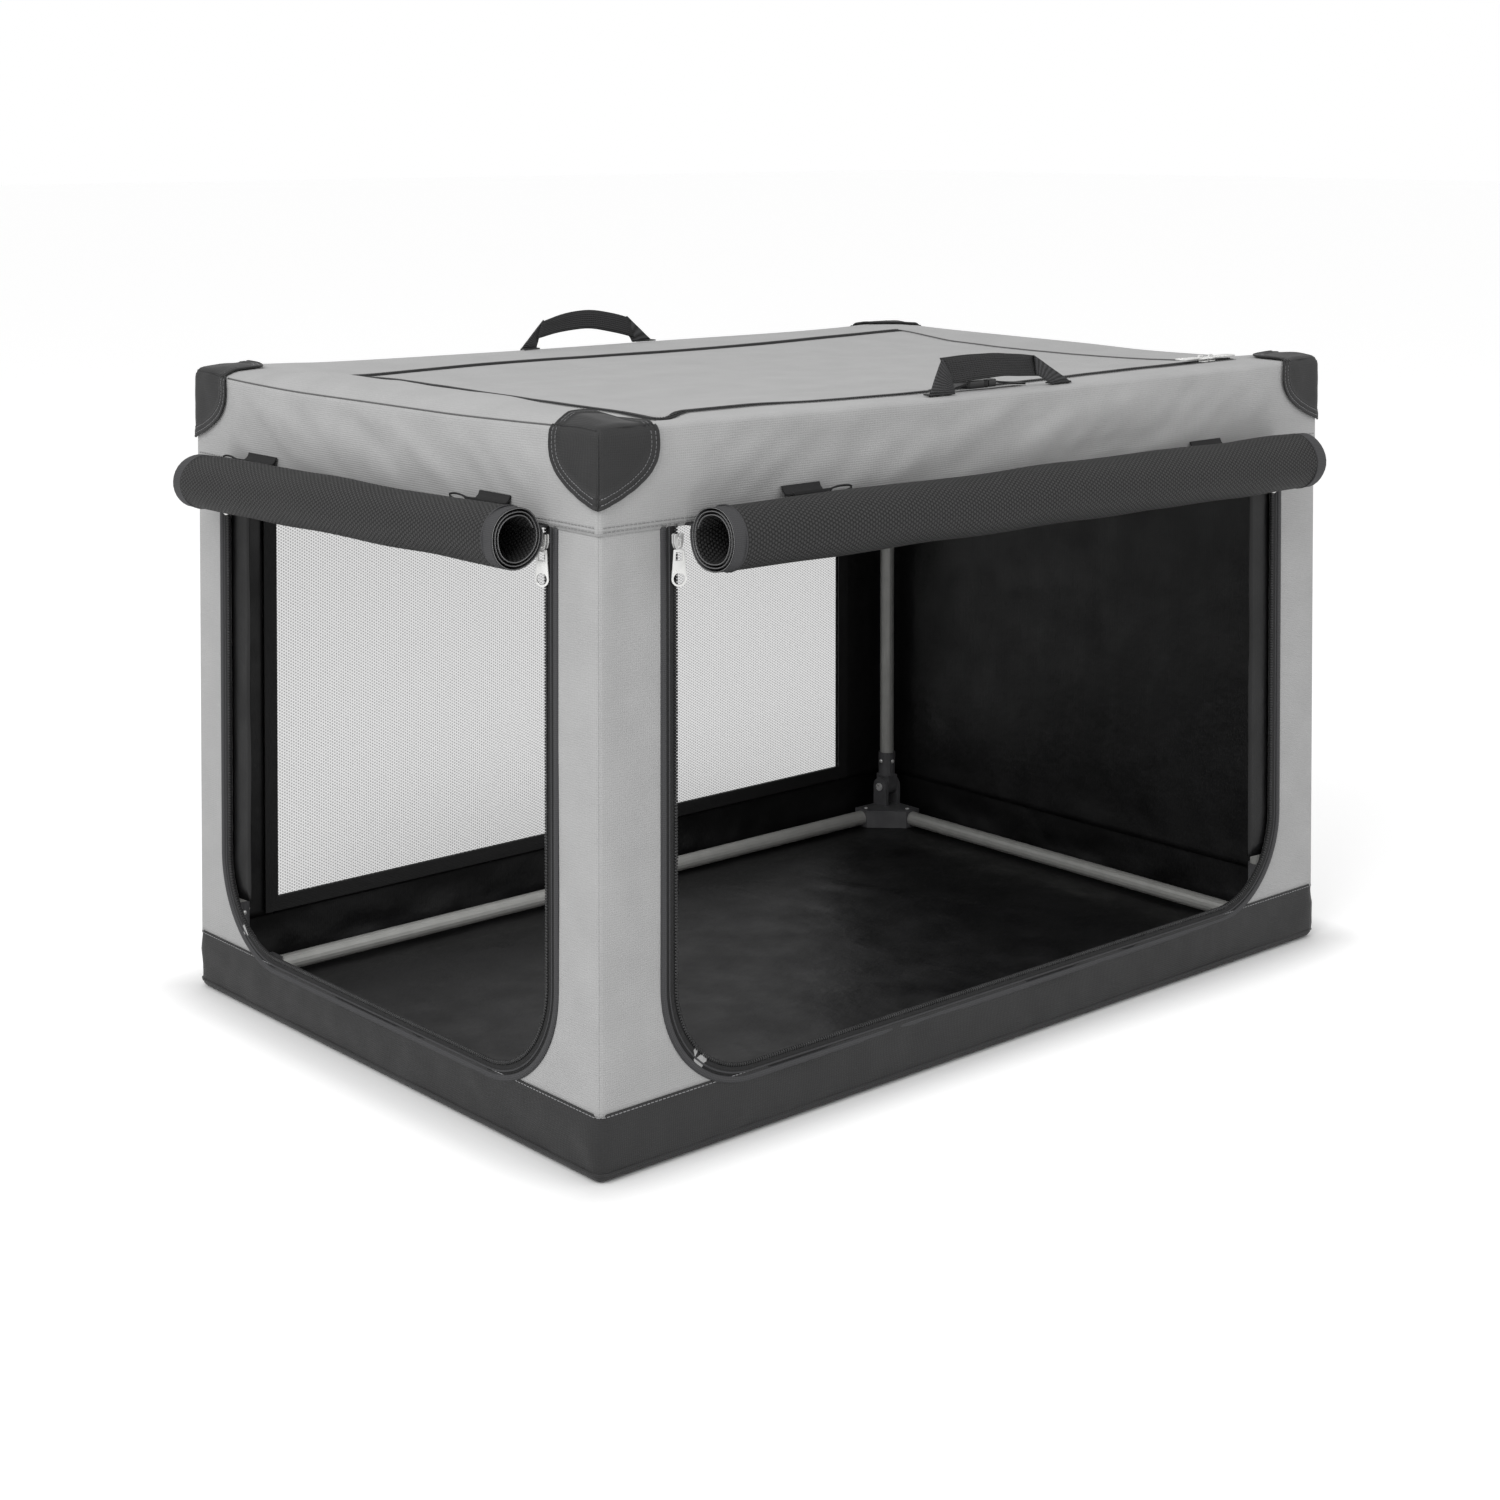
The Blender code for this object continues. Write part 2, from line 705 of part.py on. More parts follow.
make_base_tray()
make_walls()
make_window_mesh()
make_roof()
make_base_tubes()
for row in (-1, 1):
    make_frame(row)
    make_handle(row)
    for side in (-1, 1):
        make_corner_guard(side, row)
for side in (-1, 1):
    make_roof_slider(side)
make_roll("front_door_roll", "YZ", half_width, front_roll_radius,
          front_door_left + front_roll_inset, front_door_right + front_roll_overhang)
make_roll("left_door_roll", "XZ", half_length, left_roll_radius,
          left_door_near - left_roll_overhang_near, left_door_far + left_roll_overhang_far)
make_door_slider("front_left", "XZ", front_door_left, -half_width)
make_door_slider("front_right", "XZ", front_door_right, -half_width)
make_door_slider("left_near", "YZ", left_door_near, -half_length)
make_door_slider("left_far", "YZ", left_door_far, -half_length)
make_buckle()
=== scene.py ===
import math

import bmesh
import bpy
from mathutils import Matrix, Vector, noise
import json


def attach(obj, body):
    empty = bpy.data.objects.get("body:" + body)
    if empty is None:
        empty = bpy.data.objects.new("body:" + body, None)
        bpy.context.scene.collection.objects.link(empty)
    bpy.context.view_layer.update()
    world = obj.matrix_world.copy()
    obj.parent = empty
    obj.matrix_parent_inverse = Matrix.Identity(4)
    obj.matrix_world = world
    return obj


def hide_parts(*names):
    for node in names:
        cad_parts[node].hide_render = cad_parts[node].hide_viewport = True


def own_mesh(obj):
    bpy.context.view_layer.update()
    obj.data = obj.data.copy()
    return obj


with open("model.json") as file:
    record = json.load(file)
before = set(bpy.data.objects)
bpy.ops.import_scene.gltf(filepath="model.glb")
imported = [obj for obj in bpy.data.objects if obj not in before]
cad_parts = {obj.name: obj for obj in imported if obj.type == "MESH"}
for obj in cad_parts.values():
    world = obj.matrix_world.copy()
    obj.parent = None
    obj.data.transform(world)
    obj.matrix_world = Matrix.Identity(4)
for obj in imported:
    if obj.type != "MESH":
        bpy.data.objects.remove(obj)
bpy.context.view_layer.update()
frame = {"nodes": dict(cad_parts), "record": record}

xAxis, yAxis, zAxis = Vector((1, 0, 0)), Vector((0, 1, 0)), Vector((0, 0, 1))

# The cover's outside, where the CAD has it
cover = {
    "halfLength": 0.4575, "halfWidth": 0.3075, "headerBottom": 0.505, "middle": Vector((0, 0, 0.3)),
    "corner": 0.005, "cloth": 0.0016, "cell": 0.006,
}
halfLength, halfWidth = cover["halfLength"], cover["halfWidth"]

# Openings up to their zip teeth: two sides, the bottom, the open top and the round corners
frontDoor = {"low": -0.3805, "high": 0.3845, "bottom": 0.060, "top": 0.505, "radius": 0.080}
leftDoor = {"low": -0.2415, "high": 0.2485, "bottom": 0.060, "top": 0.505, "radius": 0.080}
# The roof zip lies the same way, with across as Y and up as X
roofZip = {"low": -0.2565, "high": 0.2115, "bottom": -0.3515, "top": 0.3825, "radius": 0.015}


def linear(colour):
    channels = [int(colour[i:i + 2], 16) / 255 for i in (0, 2, 4)]
    return [c / 12.92 if c <= 0.04045 else ((c + 0.055) / 1.055) ** 2.4 for c in channels] + [1.0]


def addNode(tree, kind, settings=None, links=None):
    node = tree.nodes.new(kind)
    for name, value in (settings or {}).items():
        if isinstance(name, int) or name in node.inputs:
            node.inputs[name].default_value = value
        else:
            setattr(node, name, value)
    for name, source in (links or {}).items():
        tree.links.new(source, node.inputs[name])
    return node


def newMaterial(name, settings, coordinates="UV"):
    material = bpy.data.materials.new(name)
    material.use_nodes = True
    shader = material.node_tree.nodes["Principled BSDF"]
    for socket, value in settings.items():
        shader.inputs[socket].default_value = linear(value) if isinstance(value, str) else value
    place = addNode(material.node_tree, "ShaderNodeTexCoord").outputs[coordinates]
    return material, material.node_tree, shader, place


def tint(tree, shader, share, dark, light):
    node = addNode(tree, "ShaderNodeMix", {"data_type": "RGBA", 6: linear(dark), 7: linear(light)},
                   {0: share})
    tree.links.new(node.outputs[2], shader.inputs["Base Color"])


def spread(tree, source, low, high, start=0.0, end=1.0):
    node = addNode(tree, "ShaderNodeMapRange", {1: low, 2: high, 3: start, 4: end}, {0: source})
    return node.outputs[0]


def waves(tree, place, pitch, turn=0.0, direction="X"):
    # One set of parallel threads; Blender's sine bands repeat every 0.31416 / scale
    turned = addNode(tree, "ShaderNodeMapping", {"Rotation": (0, 0, turn)}, {"Vector": place})
    node = addNode(tree, "ShaderNodeTexWave", {"bands_direction": direction, "Scale": 0.31416 / pitch},
                   {"Vector": turned.outputs[0]})
    return node.outputs["Fac"]


def total(tree, values):
    result = values[0]
    for value in values[1:]:
        result = addNode(tree, "ShaderNodeMath", {"operation": "ADD"}, {0: result, 1: value}).outputs[0]
    return result


def bump(tree, shader, height, distance, strength=1.0, below=None):
    links = {"Height": height}
    if below:
        links["Normal"] = below
    node = addNode(tree, "ShaderNodeBump", {"Distance": distance, "Strength": strength}, links)
    tree.links.new(node.outputs[0], shader.inputs["Normal"])
    return node.outputs[0]


def mottle(tree, place, size, detail=3.0):
    node = addNode(tree, "ShaderNodeTexNoise", {"Scale": 1 / size, "Detail": detail}, {"Vector": place})
    return node.outputs["Fac"]


def wovenCloth(name, dark, light, threads, settings, relief=0.00022):
    material, tree, shader, place = newMaterial(name, settings)
    weave = total(tree, [waves(tree, place, threads), waves(tree, place, threads, direction="Y")])
    fibres = mottle(tree, place, 0.0011, 2.0)
    clouds = mottle(tree, place, 0.045)
    tone = total(tree, [spread(tree, weave, 0, 2, 0, 0.34), spread(tree, fibres, 0.3, 0.7, 0, 0.4),
                        spread(tree, clouds, 0.3, 0.7, 0, 0.26)])
    tint(tree, shader, tone, dark, light)
    creases = mottle(tree, place, 0.03, 4.0)
    soft = bump(tree, shader, creases, 0.0016, 0.35)
    bump(tree, shader, weave, relief, 0.55, soft)
    return material


# 600-denier polyester canvas, plain woven and dyed grey: matt, with a faint thread grain. Real threads
# are 0.5 mm apart; 1.9 mm here, so that the grain shows.
greyCanvas = wovenCloth("grey_polyester_canvas", "9C9C9C", "B4B4B4", 0.0019,
                        {"Roughness": 0.88, "Sheen Weight": 0.12, "Sheen Roughness": 0.5})
# The same canvas dyed charcoal: a little glossier where it is pulled round an edge
charcoalCanvas = wovenCloth("charcoal_polyester_canvas", "191919", "2A2A2B", 0.0019,
                            {"Roughness": 0.62, "Sheen Weight": 0.08, "Sheen Roughness": 0.4})


def coatedLining():
    # Polyurethane coating on the cloth's inner face: near black, smooth and creased, with a soft shine
    material, tree, shader, place = newMaterial("black_coated_lining", {
        "Base Color": "0B0B0C", "Roughness": 0.42, "Specular IOR Level": 0.42})
    tint(tree, shader, spread(tree, mottle(tree, place, 0.12), 0.35, 0.7), "070708", "141415")
    tree.links.new(spread(tree, mottle(tree, place, 0.05), 0.3, 0.7, 0.34, 0.55), shader.inputs["Roughness"])
    folds = bump(tree, shader, mottle(tree, place, 0.07, 5.0), 0.006, 0.5)
    bump(tree, shader, waves(tree, place, 0.0024), 0.0001, 0.3, folds)
    return material


def honeycomb(tree, place, pitch):
    # Three sets of waves at 60 degrees: high in each hole of the mesh, low along the threads round it
    return total(tree, [waves(tree, place, pitch * 0.866, math.radians(turn)) for turn in (0, 60, 120)])


def knittedMesh(name, pitch, dark, light):
    # Warp-knitted polyester mesh for the doors, drawn opaque: dull black loops, with the small holes between
    # them filled near black as painted shade of the roll's inside behind them
    material, tree, shader, place = newMaterial(name, {"Roughness": 0.62, "Specular IOR Level": 0.4})
    loops = spread(tree, honeycomb(tree, place, pitch), 2.2, 1.1)
    tint(tree, shader, loops, dark, light)
    bump(tree, shader, loops, 0.0009, 0.9)
    return material


def windowMesh():
    # The same mesh with daylight behind it: thin black threads round open holes. Real holes are 2.3 mm
    # apart; 3.0 mm here, so that they show.
    material, tree, shader, place = newMaterial("black_window_mesh",
                                                {"Base Color": "2E2E2F", "Roughness": 0.7})
    loops = spread(tree, honeycomb(tree, place, 0.0030), 1.5, 0.95, 0.18, 0.44)
    tree.links.new(loops, shader.inputs["Alpha"])
    return material


def ribbedWebbing(name, pitch, dark, light):
    material, tree, shader, place = newMaterial(name, {"Roughness": 0.55})
    ribs = waves(tree, place, pitch, direction="Y")
    yarn = waves(tree, place, 0.0018, math.radians(35), "Y")
    # Each rib drawn lighter along its crest: painted shine
    tint(tree, shader, ribs, dark, light)
    bump(tree, shader, total(tree, [ribs, spread(tree, yarn, 0, 1, 0, 0.4)]), 0.0006, 0.8)
    return material


def plainTape(name, dark, light, roughness):
    material, tree, shader, place = newMaterial(name, {"Roughness": roughness})
    ribs = total(tree, [waves(tree, place, 0.0016), waves(tree, place, 0.0016, direction="Y")])
    tint(tree, shader, spread(tree, ribs, 0, 2), dark, light)
    bump(tree, shader, ribs, 0.00015, 0.6)
    return material


def solidFinish(name, settings, dark, light, grain, relief, strength=0.4, wear=0.06):
    # Object coordinates, so that it also works on the CAD's own tubes and brackets
    material, tree, shader, place = newMaterial(name, settings, "Object")
    tone = spread(tree, mottle(tree, place, 0.018), 0.3, 0.7)
    tint(tree, shader, tone, dark, light)
    rough = settings["Roughness"]
    smears = spread(tree, mottle(tree, place, 0.007), 0.3, 0.7, rough - wear, rough + wear)
    tree.links.new(smears, shader.inputs["Roughness"])
    bump(tree, shader, mottle(tree, place, grain, 2.0), relief, strength)
    return material


lining = coatedLining()
doorMesh = knittedMesh("black_door_mesh", 0.0036, "050506", "393939")
paneMesh = windowMesh()
# Polypropylene webbing: black, with ribs across it and a painted shine on each rib's crest
webbing = ribbedWebbing("black_ribbed_webbing", 0.0030, "101011", "3C3C3E")
# The same webbing doubled and pressed smooth along the grip
gripWebbing = ribbedWebbing("black_pressed_webbing", 0.0020, "19191A", "272728")
# Woven zip tape and the bias binding round the door edges: matt black, with the binding a shade lighter
zipTape = plainTape("black_zip_tape", "0F0F10", "1C1C1D", 0.75)
binding = plainTape("black_bias_binding", "2A2A2C", "424244", 0.6)
# Nylon coil: black and slightly glossy, so that each tooth catches the light
nylonCoil = solidFinish("black_nylon_coil", {"Roughness": 0.35}, "1A1A1B", "2E2E2F", 0.001, 0.00005)
# Grey polyester thread, drawn darker than the canvas: its own grey plus painted shade of the stitch holes
greyThreadShaded = plainTape("grey_thread_with_painted_shade", "7A7A7A", "949494", 0.7)
# Bias-cut canvas cord sewn into a seam: the same grey, drawn darker all along as painted shade of the seam's
# recess
seamCordShaded = plainTape("grey_seam_cord_painted_shade", "505050", "6A6A6A", 0.8)
liningTape = plainTape("black_lining_tape", "0B0B0C", "171718", 0.6)
# Near black for the binding's rims at the roll's ends: painted shade on the roll's end faces
rollRimShade = plainTape("black_rim_painted_shade", "060607", "101011", 0.85)
blackThread = plainTape("charcoal_polyester_thread", "7C7C7E", "A0A0A2", 0.6)
# Overlocked edge of the mesh: pale thread loops that show each turn of a roll
edgeThread = plainTape("overlocked_edge_thread", "5A5A5B", "9A9A9A", 0.7)
# Powder-coated steel tube: satin warm grey, with a very fine orange peel
coatedTube = solidFinish("powder_coated_tube", {"Roughness": 0.4, "Metallic": 0.2}, "A2A29F", "AEAEAB",
                         0.0016, 0.00004)
# Moulded nylon brackets: dark grey, spark-eroded grain, dull shine
mouldedNylon = solidFinish("moulded_grey_nylon", {"Roughness": 0.42}, "505052", "606062", 0.0009, 0.00006)
# Acetal buckle: smooth and glossy black
acetal = solidFinish("glossy_black_acetal", {"Roughness": 0.24}, "111112", "1C1C1D", 0.004, 0.00005,
                     0.3, 0.04)
# Nickel-plated zinc sliders and steel rivets: bright, with a faint die-cast waviness
nickel = solidFinish("nickel_plated_zinc", {"Roughness": 0.3, "Metallic": 0.5}, "EBEBE9", "F8F8F7",
                     0.003, 0.00006, 0.3)
print("materials made")


def ease(start, end, value):
    share = max(0.0, min(1.0, (value - start) / (end - start)))
    return share * share * (3 - 2 * share)


def ripple(x, y, z, seed):
    return noise.noise(Vector((x + seed * 3.1, y + seed * 7.7, z + seed)))


def steps(start, end, size):
    count = max(1, round(abs(end - start) / size))
    return [start + (end - start) * i / count for i in range(count + 1)]


def lines(*runs):
    # Grid lines through several runs of (start, end, cell size)
    places = []
    for start, end, size in runs:
        places += steps(start, end, size)
    return sorted({round(place, 6) for place in places})


def flatGrid(us, ws):
    shape = bmesh.new()
    bmesh.ops.create_grid(shape, x_segments=len(us) - 1, y_segments=len(ws) - 1, size=1.0)
    for vert in shape.verts:
        i = round((vert.co.x + 1) / 2 * (len(us) - 1))
        j = round((vert.co.y + 1) / 2 * (len(ws) - 1))
        vert.co = (us[i], ws[j], 0)
    return shape


def removeWhere(shape, test):
    faces = [face for face in shape.faces if test(face.calc_center_median())]
    bmesh.ops.delete(shape, geom=faces, context="FACES")


def writeCut(shape, cut):
    # The UV map in metres, from each corner's place in the flat grid
    layer = shape.loops.layers.uv.new("cut")
    for face in shape.faces:
        for corner in face.loops:
            corner[layer].uv = cut(corner.vert.co.x, corner.vert.co.y)


def faceAway(shape, middle):
    # Turns the faces to look away from a point
    shape.normal_update()
    away = (face.normal.dot(face.calc_center_median() - middle) * face.calc_area() for face in shape.faces)
    if sum(away) < 0:
        bmesh.ops.reverse_faces(shape, faces=shape.faces)


def mapCloth(shape, place, shift=(0, 0), away=cover["middle"]):
    # The flat cut becomes the UV map, and then each point goes to its place
    writeCut(shape, lambda x, y: (x + shift[0], y + shift[1]))
    for vert in shape.verts:
        vert.co = place(vert.co.x, vert.co.y)
    faceAway(shape, away)


def running(points):
    # The distance along a line at each of its points
    lengths = [0.0]
    for first, second in zip(points, points[1:]):
        lengths.append(lengths[-1] + math.dist(first, second))
    return lengths


def sweep(path, section, loop=False):
    # Carries a closed section of (across, up) along frames of (point, across, up)
    shape = flatGrid(list(range(len(path))), list(range(len(section) + 1)))
    along, around = running([point for point, *_ in path]), running(section + section[:1])
    writeCut(shape, lambda x, y: (along[round(x)], around[round(y)]))
    for vert in shape.verts:
        i, j = round(vert.co.x), round(vert.co.y)
        point, across, up = path[i]
        a, b = section[j % len(section)]
        vert.co = point + across * a + up * b
    bmesh.ops.remove_doubles(shape, verts=shape.verts, dist=0.000005)
    if not loop:
        rims = [edge for edge in shape.edges if edge.is_boundary]
        bmesh.ops.holes_fill(shape, edges=rims, sides=0)
    bmesh.ops.recalc_face_normals(shape, faces=shape.faces)
    return shape


def meshOf(name, shape):
    mesh = bpy.data.meshes.new(name)
    shape.to_mesh(mesh)
    shape.free()
    return mesh


def addObject(name, data):
    item = bpy.data.objects.new(name, data)
    bpy.context.scene.collection.objects.link(item)
    return item


def join(target, shape):
    mesh = meshOf("joined", shape)
    target.from_mesh(mesh)
    bpy.data.meshes.remove(mesh)


def addPiece(name, shape, materials, body="root", replaces=(), thickness=0.0, sharp=None):
    mesh = meshOf(name, shape)
    piece = addObject(name, mesh)
    for material in materials:
        mesh.materials.append(material)
    mesh.shade_smooth()
    if sharp:
        mesh.set_sharp_from_angle(angle=math.radians(sharp))
    if thickness:
        cloth = piece.modifiers.new("thickness", "SOLIDIFY")
        cloth.thickness = thickness
        cloth.offset = -1
        cloth.use_even_offset = True
        cloth.material_offset = len(materials) - 1
    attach(piece, body)
    if replaces:
        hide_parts(*replaces)
    return piece


def settle(piece):
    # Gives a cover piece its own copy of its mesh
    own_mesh(piece)
    return piece


def lower(piece):
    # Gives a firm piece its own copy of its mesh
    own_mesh(piece)
    return piece


def onFront(u, w, out):
    return Vector((u, -halfWidth - out, w))


def onRear(u, w, out):
    return Vector((u, halfWidth + out, w))


def onLeft(u, w, out):
    return Vector((-halfLength - out, u, w))


def onRight(u, w, out):
    return Vector((halfLength + out, u, w))


def heading(plane, u, w, out):
    # A direction along, up and off one of the crate's planes
    return plane(u, w, out) - plane(0, 0, 0)


def uLength(line, offset=0.0):
    radius = line["radius"] + offset
    straight = line["top"] - line["bottom"] - line["radius"]
    base = line["high"] - line["low"] - 2 * line["radius"]
    return 2 * straight + base + math.pi * radius


def uPoint(line, s, offset=0.0):
    # A place along a U-shaped line, and the direction out of the opening there
    low, high, radius = line["low"], line["high"], line["radius"]
    straight = line["top"] - line["bottom"] - radius
    wide = radius + offset
    turn = wide * math.pi / 2
    base = high - low - 2 * radius
    floor = line["bottom"] + radius
    if s < straight:
        u, w, nu, nw = low, line["top"] - s, -1, 0
    elif s < straight + turn:
        a = (s - straight) / wide
        nu, nw = -math.cos(a), -math.sin(a)
        u, w = low + radius + radius * nu, floor + radius * nw
    elif s < straight + turn + base:
        u, w, nu, nw = low + radius + s - straight - turn, line["bottom"], 0, -1
    elif s < straight + 2 * turn + base:
        a = (s - straight - turn - base) / wide
        nu, nw = math.sin(a), -math.cos(a)
        u, w = high - radius + radius * nu, floor + radius * nw
    else:
        u, w, nu, nw = high, floor + s - straight - 2 * turn - base, 1, 0
    return u + nu * offset, w + nw * offset, nu, nw


def uFrames(line, plane, places, offset=0.0, lift=0.0):
    # Frames of (point, direction out of the opening, direction off the cloth)
    frames = []
    for s in places:
        u, w, nu, nw = uPoint(line, s, offset)
        point = plane(u, w, lift)
        across = plane(u + nu, w + nw, lift) - point
        up = plane(u, w, lift + 1) - point
        frames.append((point, across, up))
    return frames


def insideU(line, u, w):
    if not line["low"] < u < line["high"] or w < line["bottom"]:
        return False
    radius = line["radius"]
    floor = line["bottom"] + radius
    for centre, way in ((line["low"] + radius, -1), (line["high"] - radius, 1)):
        if (u - centre) * way > 0 and w < floor:
            return math.hypot(u - centre, w - floor) < radius
    return True


def cutU(shape, line, cell):
    # Opens a grid along a U-shaped line and pulls the ragged edge onto it
    removeWhere(shape, lambda middle: insideU(line, middle.x, middle.y))
    length = uLength(line)
    marks = [Vector(uPoint(line, s)[:2]) for s in steps(0, length, 0.002)]
    for vert in shape.verts:
        if vert.is_boundary:
            here = vert.co.xy
            nearest = min(marks, key=lambda mark: (mark - here).length_squared)
            if (nearest - here).length < cell * 1.1:
                vert.co.xy = nearest


def dashes(runs, dash, gap, width, height):
    # Stitches or zip teeth: a strip along each run, opened between the dashes. A run is a function of
    # the distance along it, and its length. Each piece's settings give dash, gap, width and height.
    made = bmesh.new()
    for frameAt, length in runs:
        places, s = [], 0.0
        while s + dash < length:
            places += [s, s + dash]
            s += dash + gap
        shape = flatGrid(list(range(len(places))), [0, 1, 2])
        removeWhere(shape, lambda middle: int(middle.x) % 2 == 1)
        writeCut(shape, lambda x, y: (places[round(x)], y * width / 2))
        frames = [frameAt(s) for s in places]
        for vert in shape.verts:
            point, across, up = frames[round(vert.co.x)]
            j = round(vert.co.y)
            vert.co = point + across * (j - 1) * width / 2 + up * (height if j == 1 else height * 0.45)
        shape.normal_update()
        if next(iter(shape.faces)).normal.dot(frames[0][2]) < 0:
            bmesh.ops.reverse_faces(shape, faces=shape.faces)
        join(made, shape)
    return made


def plate(outlines, thickness, rounding=0.0):
    # A flat outline in XY with any holes as further outlines, its edges rounded
    curve = bpy.data.curves.new("outline", "CURVE")
    curve.dimensions = "2D"
    curve.fill_mode = "BOTH"
    curve.extrude = thickness / 2 - rounding
    curve.bevel_depth = rounding
    curve.bevel_resolution = 2
    curve.offset = -rounding
    for outline in outlines:
        spline = curve.splines.new("POLY")
        spline.points.add(len(outline) - 1)
        for point, (across, up) in zip(spline.points, outline):
            point.co = (across, up, 0, 1)
        spline.use_cyclic_u = True
    drawing = addObject("outline", curve)
    view = bpy.context.evaluated_depsgraph_get()
    mesh = bpy.data.meshes.new_from_object(drawing.evaluated_get(view))
    shape = bmesh.new()
    shape.from_mesh(mesh)
    bpy.data.objects.remove(drawing)
    bpy.data.meshes.remove(mesh)
    bmesh.ops.remove_doubles(shape, verts=shape.verts, dist=0.000002)
    bmesh.ops.recalc_face_normals(shape, faces=shape.faces)
    return shape


def arc(across, up, radius, start, end, count=10):
    angles = [math.radians(start + (end - start) * i / count) for i in range(count + 1)]
    return [(across + radius * math.cos(a), up + radius * math.sin(a)) for a in angles]


def softBox(size, rounding, segments=3):
    shape = bmesh.new()
    bmesh.ops.create_cube(shape, size=1.0)
    bmesh.ops.scale(shape, vec=size, verts=shape.verts)
    bmesh.ops.bevel(shape, geom=shape.edges[:], offset=rounding, offset_type="OFFSET", affect="EDGES",
                    segments=segments, profile=0.5, material=-1)
    return shape


def moved(shape, matrix):
    bmesh.ops.transform(shape, matrix=matrix, verts=shape.verts)
    if matrix.determinant() < 0:
        bmesh.ops.reverse_faces(shape, faces=shape.faces)
    return shape


def axes(origin, x, y, z):
    turn = Matrix((Vector(x), Vector(y), Vector(z))).transposed().to_4x4()
    return Matrix.Translation(Vector(origin)) @ turn


# Walls: cloth strips from the base band up behind the header, wrapped half way round each corner
rearWindow = {"half": 0.3795, "bottom": 0.066, "top": 0.505}
wall = {"low": 0.0525, "high": 0.5085, "bulge": 0.0012, "wrinkle": 0.0016}


def wrapCorner(s, half, radius):
    # Position along the wall and how far in the cloth has turned, for a distance along the cut
    flat = half - radius
    if abs(s) <= flat:
        return s, 0.0
    a = (abs(s) - flat) / radius
    return math.copysign(flat + radius * math.sin(a), s), radius * (1 - math.cos(a))


def cornerReach(half):
    return half - cover["corner"] + cover["corner"] * math.pi / 4


def wallPlace(plane, half, line, seed):
    def place(s, w):
        along, inward = wrapCorner(s, half, cover["corner"])
        edge = half - abs(along)
        calm = ease(0, 0.03, w - wall["low"]) * ease(0, 0.03, wall["high"] - w)
        if line:
            side = min(abs(along - line["low"]), abs(along - line["high"]))
            calm *= ease(0.006, 0.03, side) if insideU(line, along, w) is False else 0
        fold = ripple(along / 0.05, w / 0.16, 0, seed) + 0.5 * ripple(along / 0.02, w / 0.07, 0, seed + 2)
        if plane is onRear:
            calm *= ease(0.012, 0.04, abs(along) - rearWindow["half"])
        calm *= ease(0.0015, 0.016, edge)
        return plane(along, w, -inward + calm * (wall["bulge"] + wall["wrinkle"] * fold))
    return place


def addStrip(name, plane, half, us, line, node, seed):
    ws = steps(wall["low"], wall["high"], cover["cell"])
    shape = flatGrid(us, ws)
    area = (us[-1] - us[0]) * (ws[-1] - ws[0])
    if line:
        cutU(shape, line, cover["cell"])
        area = sum(face.calc_area() for face in shape.faces)
    mapCloth(shape, wallPlace(plane, half, line, seed), shift=(seed * 0.7, 0))
    piece = addPiece(name, shape, [greyCanvas, lining], replaces=(node,),
                     thickness=cover["cloth"])
    settle(piece)
    return piece


def jambLines(half, line, side):
    # From the crate's corner to where the door's bottom corner ends
    reach = cornerReach(half)
    edge = line["low"] if side < 0 else line["high"]
    inner = edge - side * (line["radius"] + cover["cell"])
    flat = side * (half - cover["corner"])
    return lines((side * reach, flat, 0.001), (flat, edge, cover["cell"]), (edge, inner, cover["cell"]))


for name, plane, half, line, side, node, seed in (
        ("front_wall_left", onFront, halfLength, frontDoor, -1, "front_wall", 1),
        ("front_wall_right", onFront, halfLength, frontDoor, 1, "front_wall", 2),
        ("left_wall_near", onLeft, halfWidth, leftDoor, -1, "left_wall", 3),
        ("left_wall_far", onLeft, halfWidth, leftDoor, 1, "left_wall", 4)):
    addStrip(name, plane, half, jambLines(half, line, side), line, node, seed)

rearReach, rearFlat = cornerReach(halfLength), halfLength - cover["corner"]
for side, name in ((-1, "rear_wall_left"), (1, "rear_wall_right")):
    strip = lines((side * rearReach, side * rearFlat, 0.001),
                  (side * rearFlat, side * rearWindow["half"], 0.006))
    addStrip(name, onRear, halfLength, strip, None, "rear_wall", 5 + side)
sill = flatGrid(steps(-rearWindow["half"], rearWindow["half"], 0.008),
                steps(wall["low"], rearWindow["bottom"], 0.004))
mapCloth(sill, lambda u, w: onRear(u, w, 0))
sillPiece = settle(addPiece("rear_wall_sill", sill, [greyCanvas, lining],
                            replaces=("rear_wall",), thickness=cover["cloth"]))
rightReach, rightFlat = cornerReach(halfWidth), halfWidth - cover["corner"]
strip = lines((-rightReach, -rightFlat, 0.001), (-rightFlat, rightFlat, 0.008),
              (rightFlat, rightReach, 0.001))
addStrip("right_wall_cloth", onRight, halfWidth, strip, None, "right_wall", 8)
print("walls made")

# Roof border and header in one cut: slack over the frame's rails, turned down at a seamed edge
roof = {"edge": 0.0008, "radius": 0.0042, "seam": 0.5848, "drop": 0.0806, "track": 0.006, "cell": 0.007,
        "wrinkle": 0.0016}
roofHalf = {"x": halfLength + roof["edge"], "y": halfWidth + roof["edge"]}
